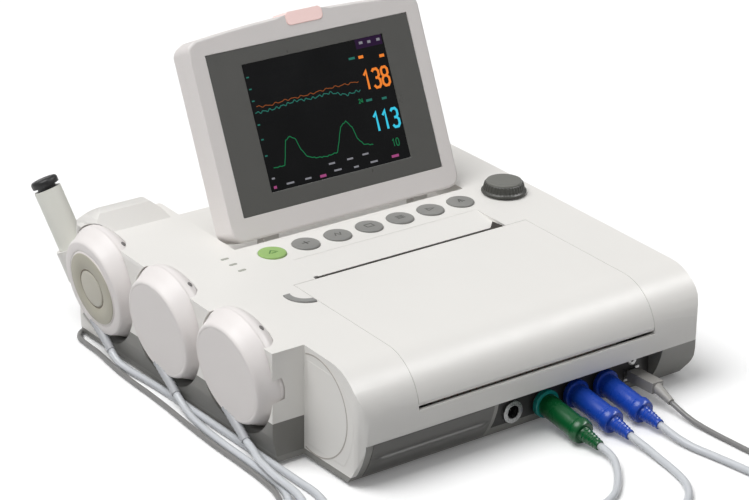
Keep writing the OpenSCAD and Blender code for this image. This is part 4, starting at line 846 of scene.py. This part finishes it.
for i, kind in enumerate(("front", "middle", "rear")):
    nodes = ("toco_face", "toco_back") if i == 2 else ("ultrasound_faces", "ultrasound_backs")
    profile = pressure_profile if i == 2 else face_profile
    face = turned(kind + "_transducer_face", profile, puck_at[i], bay_axis, puck_white, sides=128)
    mounted(face, "housing", nodes[0], nodes[0])
    flank = turned(kind + "_transducer_back", flank_profile, puck_at[i], bay_axis, puck_white, sides=128)
    mounted(flank, "housing", nodes[1], nodes[1])
    relief_from = puck_at[i] + np.array([8, 12, -29])
    relief_to = puck_at[i] + np.array([4, -15, -40.5])
    run = relief_to - relief_from
    long = float(np.linalg.norm(run))
    ribs = [(3.9 - 0.9 * t / long - (0.4 if k % 2 else 0), t)
            for k, t in enumerate(np.linspace(1, long - 1, 17))]
    relief_profile = [(0, 0), (3.9, 0)] + ribs + [(2.9, long), (0, long)]
    relief = turned(kind + "_transducer_relief", relief_profile, relief_from, run, relief_painted_shade, sides=32)
    mounted(relief, "housing", nodes[0])
    stud = turned(kind + "_transducer_stud", [(0, -2), (1.8, -2), (1.8, 0.3), (1.6, 0.5), (0, 0.55)],
                  puck_at[i] + np.array([13.5, -19, 35.3]), (0.42, -0.43, 0.8), stud_grey, sides=32)
    mounted(stud, "housing", nodes[1])
ring_profile = [(25.4, 0.3), (25.4, 0.62), (25, 0.8), (14.6, 0.8), (14.1, 0.5), (14.1, 0.3), (25.4, 0.3)]
groove_profile = [(14.3, 0.2), (14.3, 0.42), (13.35, 0.42), (13.35, 0.2), (14.3, 0.2)]
for name, profile, finish in (("pressure_ring", ring_profile, beige),
                              ("pressure_groove", groove_profile, groove_brown)):
    mounted(turned(name, profile, puck_at[2], bay_axis, finish, sides=96), "housing", "toco_face")
pad = turned("pressure_pad", [(0, -6.6), (15, -6.6), (15, -4.8), (13, -4.8), (13, 0.4), (12.6, 0.8),
                              (11.8, 0.95), (0, 1.0)], puck_at[2], bay_axis, pad_beige, sides=96)
mounted(pad, "pressure_pad", "toco_pad", "toco_pad")


# Event marker.
# An ivory tube with a dark push cap stands in a sleeve on the rear left corner, leaning left and back.
# It is moulded in ABS, and its cord leaves the foot through a short tapered sleeve.
left_lean, back_lean = math.radians(12.6), math.radians(22)
marker_foot = np.array([-129.5, 164, 30])
marker_axis = np.array([-math.sin(left_lean) * math.cos(back_lean), math.sin(back_lean),
                        math.cos(left_lean) * math.cos(back_lean)])
ivory = moulded("ivory_plastic", ink(232, 232, 224), 0.4, mottle=0.02)
tube_profile = [(0, -8), (2.4, -8), (3, -6), (4.5, 0), (7, 0), (9.5, 3.1), (9.5, 69.4), (9.3, 70), (7.2, 70),
                (6.7, 69.6), (6.7, 59), (0, 59)]
push_profile = [(0, 63), (6.5, 63), (6.5, 72.4), (9.3, 72.4), (9.5, 72.8), (9.5, 75.6), (9.2, 76.4),
                (8.4, 77.1), (7, 77.4), (3, 77.5), (0, 77.5)]
tube = turned("marker_tube", tube_profile, marker_foot, marker_axis, ivory, sides=72)
mounted(tube, "housing", "marker_body", "marker_body")
cap = turned("marker_cap", push_profile, marker_foot, marker_axis, black_plastic, sides=72)
mounted(cap, "marker_button", "marker_button", "marker_button")


# Plugs.
# Round plugs in green and blue PVC overmould with a flange, a grip and a tapered sleeve for the cord; the
# green one wears a teal collar. The marker's plug is a small grey block.
droop = math.radians(9)
plug_axis = np.array([0, -math.cos(droop), -math.sin(droop)])
green_boot = moulded("green_boot", ink(0, 84, 40), 0.28, 0.5, 0.08, 0.1)
teal_collar = moulded("teal_collar", ink(24, 146, 138), 0.2, 0.5, mottle=0.05)
blue_boot = moulded("blue_boot", ink(24, 70, 176), 0.28, 0.5, 0.08, 0.08)
flange_profile = [(0, -12.8), (4.4, -12.8), (4.4, 2), (9.1, 2), (9.5, 2.4), (9.5, 5.4), (9, 6), (0, 6)]
grip = [(7.5, t) if k % 2 == 0 else (7.28, t) for k, t in enumerate(np.linspace(8, 29, 13))]
sleeve = [(5 - 1.6 * t / 15 - (0.5 if k % 2 else 0), 38 + t) for k, t in enumerate(np.linspace(0.5, 14, 11))]
shoulder = [(7.5, 31), (8.2, 31.6), (8.5, 32.4), (8.35, 34.5), (7.9, 37), (7.2, 37.9), (5, 38)]
tip = [(3.2, 53), (2.6, 53.1), (0, 53.1)]
boot_profile = [(0, 0), (7.2, 0), (7.5, 1)] + grip + shoulder + sleeve + tip
plug_pieces = {}
for cord, x, node, boot, collar in (("rear", socket_x[1], "green_plug", green_boot, teal_collar),
                                    ("front", socket_x[2], "blue_plugs", blue_boot, blue_boot),
                                    ("middle", socket_x[3], "blue_plugs", blue_boot, blue_boot)):
    flange = turned(cord + "_plug_flange", flange_profile, (x, panel_y, socket_z), (0, -1, 0), collar, 64)
    body = turned(cord + "_plug", boot_profile, (x, panel_y - 4, socket_z), plug_axis, boot, 64)
    plug_pieces[cord] = [mounted(piece, "housing", node, node) for piece in (flange, body)]
plug_grey = moulded("plug_grey", ink(158, 156, 152), 0.4, 0.5, 0.06, 0.05, edge=0.4)
plug_pieces["marker"] = [dressed("marker_plug", "housing", plug_grey)]


# Transducer cords and event marker cord.
# Round PVC jackets, drawn off a reel, that run from each transducer over the table to a coil and on to a
# plug. Each is one tube swept along its route: listed points, then a coil whose turns come from a formula.
cord_d = 5.0
thin_cord_d = 3.6
coil_turns = 9
coil_mid = 6
coil_step = 1.25


def coil_points(middle, d, turns, first, sense, rings=24):
    """A coil in two layers: the radius falls a step a turn, the cord climbs in half a turn, and it spirals
    out again."""
    half = (turns - 0.5) / 2
    wide = coil_mid * d + coil_step * d * (turns - 0.5) / 4
    t = np.linspace(0, turns, int(math.ceil(turns * rings)) + 1)
    inward = np.where(t < half, t, half - np.maximum(0, t - half - 0.5))
    r = wide - coil_step * d * inward
    lift = coil_step * d * np.clip((t - half) * 2, 0, 1)
    a = np.radians(first + sense * 360 * t)
    turns_at = np.stack([middle[0] + r * np.cos(a), middle[1] + r * np.sin(a), d / 2 + lift], axis=1)
    ends = []
    for k, side in ((0, -1), (-1, 1)):
        along = sense * np.array([-np.sin(a[k]), np.cos(a[k]), 0])
        ends.append(turns_at[k] + side * d * along)
    return np.vstack([ends[0], turns_at, ends[1]])


def smooth_route(points, step):
    """A centripetal Catmull-Rom curve through the points, sampled about every step."""
    p = np.asarray(points, float)
    p = np.vstack([2 * p[0] - p[1], p, 2 * p[-1] - p[-2]])
    out = []
    for i in range(1, len(p) - 2):
        p0, p1, p2, p3 = p[i - 1:i + 3]
        t1 = np.linalg.norm(p1 - p0) ** 0.5
        t2 = t1 + np.linalg.norm(p2 - p1) ** 0.5
        t3 = t2 + np.linalg.norm(p3 - p2) ** 0.5
        n = max(1, int(np.ceil(np.linalg.norm(p2 - p1) / step)))
        t = np.linspace(t1, t2, n, endpoint=False)[:, None]
        a1 = (t1 - t) / t1 * p0 + t / t1 * p1
        a2 = (t2 - t) / (t2 - t1) * p1 + (t - t1) / (t2 - t1) * p2
        a3 = (t3 - t) / (t3 - t2) * p2 + (t - t2) / (t3 - t2) * p3
        b1 = (t2 - t) / t2 * a1 + t / t2 * a2
        b2 = (t3 - t) / (t3 - t1) * a2 + (t - t1) / (t3 - t1) * a3
        out.append((t2 - t) / (t2 - t1) * b1 + (t - t1) / (t2 - t1) * b2)
    out.append(p[-2][None, :])
    return np.vstack(out)


def swept_tube(name, path, d, finish, sides=12):
    """Circles of d millimetres stood square to the path at each of its points, joined into a closed tube."""
    p = np.asarray(path, float)
    way = np.gradient(p, axis=0)
    way /= np.linalg.norm(way, axis=1)[:, None]
    side = np.cross(np.broadcast_to([0.0, 0.0, 1.0], way.shape), way)
    side /= np.linalg.norm(side, axis=1)[:, None]
    up = np.cross(way, side)
    a = np.linspace(0, 2 * np.pi, sides, endpoint=False)
    ring = np.cos(a)[None, :, None] * side[:, None, :] + np.sin(a)[None, :, None] * up[:, None, :]
    points, faces = stacked(p[:, None, :] + d / 2 * ring)
    mesh = bpy.data.meshes.new(name)
    mesh.from_pydata((points * mm).tolist(), [], faces)
    mesh.polygons.foreach_set("use_smooth", [len(face) == 4 for face in faces])
    mesh.materials.append(finish)
    piece = bpy.data.objects.new(name, mesh)
    scene.collection.objects.link(piece)
    return piece


def jacket(name, colour, rough):
    """Cable jacket: satin PVC whose tone drifts along the cord, a little light passing under its skin."""
    material = moulded(name, colour, rough, 1.5, mottle=0.06, coat=0.15, edge=0)
    wire(material.node_tree.nodes["Principled BSDF"], Subsurface_Weight=0.25, Subsurface_Radius=(1, 1, 1),
         Subsurface_Scale=0.001)
    return material


pale_jacket = jacket("pale_jacket", ink(206, 209, 213), 0.3)
grey_jacket = jacket("grey_jacket", ink(132, 131, 130), 0.35)
tie_black = moulded("tie_black", ink(40, 40, 42), 0.7, 0.5, 0.2, 0.1, edge=0)
# The routes' points in millimetres: one without a height lies on the table, the cord's radius above it.
rear_route = [
    (-152, 97.5, 9.5), (-152.6, 93, 7.6), (-152.6, 86, 4.8), (-151, 76, 2.8), (-149.5, 60), (-148.5, 35),
    (-148.5, 5), (-148.5, -25), (-148.5, -55), (-148.5, -85), (-148.5, -112), (-149, -136), (-154, -153),
    (-164, -170), (-174, -185)]
rear_return = [
    (-106, -240, 8), (-95, -230, 6.2), (-80, -224, 4), (-65, -225, 2.7), (-52, -230), (-39, -238),
    (-27, -244), (-15, -244), (-2, -238), (9, -228, 2.6), (18, -217, 3.3), (24, -207, 4.4), (26, -199, 5.5)]
front_route = [
    (-152, -63.5, 9.5), (-152.8, -69, 8.8), (-155, -77, 8.6), (-158.5, -87, 8.4), (-160.5, -98, 8.2),
    (-162, -110, 8), (-162.6, -122, 7.8), (-162.8, -133, 6.9), (-164, -142, 5.2), (-167.5, -150, 3.6),
    (-173.5, -158, 2.7), (-184, -171), (-198, -189), (-211, -210), (-217, -230), (-213, -248), (-198, -264),
    (-178, -280), (-158, -294), (-137, -308), (-116, -319)]
front_return = [
    (-17, -304, 8), (-9, -294, 6.4), (1, -286, 4.2), (12, -279, 2.8), (23, -273), (34, -264), (42, -252),
    (47, -236), (49.8, -220, 2.9), (51, -208, 4.2), (51, -199, 5.5)]
middle_route = [
    (-152, 17, 9.5), (-152.5, 12, 7.6), (-153.3, 5, 5), (-154.5, -4, 3), (-156, -16), (-157.5, -32),
    (-158.5, -52), (-159, -76), (-160, -100), (-163, -122), (-172, -140), (-184, -156), (-201, -180),
    (-219, -205), (-228, -225), (-228, -245), (-216, -263), (-192, -281), (-167, -299), (-143, -316),
    (-117, -332), (-92, -347), (-70, -360), (-47, -371), (-24, -381)]
middle_return = [
    (68, -369, 8), (74, -356, 6.4), (79, -340, 4.2), (82, -322, 2.8), (84, -302), (85, -280), (83, -258),
    (80, -236), (77.2, -220, 2.9), (76, -208, 4.2), (76, -199, 5.5)]
marker_route = [
    (-127.88, 161, 22.76), (-126.9, 159.1, 18.2), (-125.9, 158.2, 13.2), (-124.6, 158, 8.6),
    (-122, 158.2, 4.6), (-117.8, 158.6, 2.4), (-112, 159, 1.9), (-105, 159.6), (-98, 161), (-91, 164.3),
    (-85.5, 169.5), (-82, 177.5)]
marker_return = [
    (-68, 158.8, 6.2), (-78, 157.4, 5.6), (-88, 155, 3.8), (-98, 153.4, 2.3), (-108, 152.6), (-120, 152.6),
    (-134, 152.4), (-144, 150), (-150.5, 142), (-152, 130), (-152.5, 115), (-154.5, 98), (-156.5, 80),
    (-157.5, 60), (-158, 40), (-159, 20), (-160.5, 0), (-162, -20), (-163.3, -45), (-163.8, -75),
    (-165, -100), (-168, -120), (-176, -137), (-189, -153), (-206, -177), (-224, -202), (-235, -224),
    (-235, -247), (-221, -267), (-196, -286), (-167, -306), (-138, -325), (-109, -344), (-79, -362),
    (-51, -377), (-23, -390), (4, -403), (28, -411), (50, -409), (68, -396), (82, -378), (92, -357),
    (99, -334), (103, -310), (104, -284), (104, -258), (103, -232), (102, -210, 2.2), (101.4, -193, 3.6),
    (101, -182, 6.4)]
plug_ends = {"marker": (101, -174.18, 8.62)}
for cord, x in zip(("rear", "front", "middle"), socket_x[1:]):
    plug_ends[cord] = (x, -191.35, 6.71)
cords = {
    "rear": (rear_route, (-152, -230), coil_turns + 0.5, 144.8, 1, rear_return, cord_d),
    "front": (front_route, (-63, -293), coil_turns + 0.25, 234.8, 1, front_return, cord_d),
    "middle": (middle_route, (26, -356), coil_turns - 0.75, 234.8, 1, middle_return, cord_d),
    "marker": (marker_route, (-50, 190), coil_turns - 0.25, 180, -1, marker_return, thin_cord_d)}


def tie_band(name, middle, d, turns, angle):
    """A strap round the wound cords at one angle: a rounded rectangle across the turns, 6 wide."""
    mid, half = coil_mid * d, coil_step * d * (turns - 0.5) / 4 + d / 2 + 0.4
    high = (1 + coil_step) * d + 0.4
    a = math.radians(angle)
    out = np.array([math.cos(a), math.sin(a), 0])
    side = np.array([-math.sin(a), math.cos(a), 0])
    rings = []
    for grow, across in ((0, -3), (0.7, -3), (0.7, 3), (0, 3)):
        u, v = rounded(2 * (half + grow), high + 2 * grow, 2 + grow, 5)
        flat = np.array([middle[0], middle[1], 0]) + (mid + u)[:, None] * out + across * side
        rings.append(flat + np.stack([0 * v, 0 * v, np.maximum(0.05, high / 2 + v)], axis=1))
    return solid(name, *looped(rings), tie_black)


for cord, (route, middle, turns, first, sense, back_route, d) in cords.items():
    laid, laid_back = [[point if len(point) == 3 else (*point, d / 2) for point in part]
                       for part in (route, back_route)]
    coil = coil_points(middle, d, turns, first, sense)
    out_run = smooth_route(laid + [tuple(coil[0])], 4)
    in_run = smooth_route([tuple(coil[-1])] + laid_back + [plug_ends[cord]], 4)
    path = np.vstack([out_run, coil[1:], in_run[1:]])
    length = float(np.linalg.norm(np.diff(path, axis=0), axis=1).sum()) * mm
    piece = swept_tube(cord + "_cord", path, d, grey_jacket if cord == "marker" else pale_jacket)
    mounted(piece, "housing", cord + "_cord_runs", cord + "_cord_runs", cord + "_cord_coil")
    ties = [tie_band(cord + "_tie_" + str(k + 1), middle, d, turns, first + 100 + 150 * k) for k in range(2)]
    for tie in ties:
        mounted(tie, "housing", "rubber_feet")
    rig.cord(piece, exit=tuple(np.array(route[0]) * mm), length=round(length, 2), diameter=d * mm,
            far_end="plug", stiffness="limp" if cord == "marker" else "medium", lay="coiled",
            path=(path * mm).tolist(), with_pieces=plug_pieces[cord] + ties)


# Studio.
# A pale floor, a pale room brighter overhead, one broad lamp above, a little left and behind, and a strip
# lamp at the front right that shows in gloss only. The camera stands at the photograph's angle, and its
# small shift frames the object as the photograph does.
floor_mesh = bpy.data.meshes.new("floor")
floor_mesh.from_pydata([(-6, -6, 0), (6, -6, 0), (6, 6, 0), (-6, 6, 0)], [], [(0, 1, 2, 3)])
floor = bpy.data.objects.new("floor", floor_mesh)
scene.collection.objects.link(floor)
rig.stage(floor)
floor_white, tree, shader = blank("floor_white")
rays = added(tree, "LightPath").outputs
seen_rays = rays["Is Camera Ray"]
for other in ("Is Glossy Ray", "Is Transmission Ray"):
    either = added(tree, "Math", seen_rays, rays[other])
    either.operation = "MAXIMUM"
    seen_rays = either
tone = added(tree, "MixRGB", seen_rays, (0.42, 0.42, 0.42, 1), (0.95, 0.95, 0.95, 1))
glow = added(tree, "Math", seen_rays, 0.08)
glow.operation = "MULTIPLY"
wire(shader, Base_Color=tone, Roughness=0.9, Specular_IOR_Level=0.1, Emission_Color=(1, 1, 1, 1),
     Emission_Strength=glow)
floor_mesh.materials.append(floor_white)

eye = Vector((-0.9395, -1.2549, 0.7408))
aim = Vector((-0.0564, -0.0265, 0.0600))
camera_data = bpy.data.cameras.new("camera")
camera_data.lens = 124.3
camera_data.sensor_width = 36
camera_data.shift_x = 0.0501
camera_data.shift_y = 0.0797
camera_data.clip_end = 50
camera = bpy.data.objects.new("camera", camera_data)
camera.location = eye
camera.rotation_mode = "QUATERNION"
camera.rotation_quaternion = (aim - eye).to_track_quat("-Z", "Y") @ Quaternion((0, 0, 1), math.radians(0.2))
scene.collection.objects.link(camera)
scene.camera = camera

world = bpy.data.worlds.new("room")
world.use_nodes = True
tree = world.node_tree
room = tree.nodes["Background"]
high = added(tree, "SeparateXYZ", Vector=added(tree, "TexCoord").outputs["Generated"])
fade = added(tree, "MapRange", Value=high.outputs["Z"], To_Min=0.19, To_Max=0.55)
wire(room, Color=(1, 1, 1, 1), Strength=fade)
backdrop = added(tree, "Background", Color=(1, 1, 1, 1), Strength=1)
either = added(tree, "MixShader", added(tree, "LightPath").outputs["Is Camera Ray"], room, backdrop)
wire(tree.nodes["World Output"], Surface=either)
scene.world = world
strip_data = bpy.data.lights.new("strip_lamp", "AREA")
strip_data.shape = "RECTANGLE"
strip_data.size, strip_data.size_y = 2.0, 0.3
strip_data.energy = 42
strip = bpy.data.objects.new("strip_lamp", strip_data)
strip.location = (1.3, -1.0, 1.9)
strip.rotation_mode = "QUATERNION"
strip.rotation_quaternion = (-strip.location).to_track_quat("-Z", "Y")
strip.visible_diffuse = False
scene.collection.objects.link(strip)
lamp_data = bpy.data.lights.new("soft_lamp", "SUN")
lamp_data.energy = 2.18
lamp_data.angle = math.radians(40)
lamp = bpy.data.objects.new("soft_lamp", lamp_data)
lamp.rotation_mode = "QUATERNION"
lamp.rotation_quaternion = Vector((0.4, -0.12, -0.92)).to_track_quat("-Z", "Y")
scene.collection.objects.link(lamp)
scene.view_settings.view_transform = "Standard"

with open("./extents.json", "w") as f:
    json.dump({"cad": [list(c) for c in cad_box], "visual": [list(c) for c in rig.bounds()]}, f)
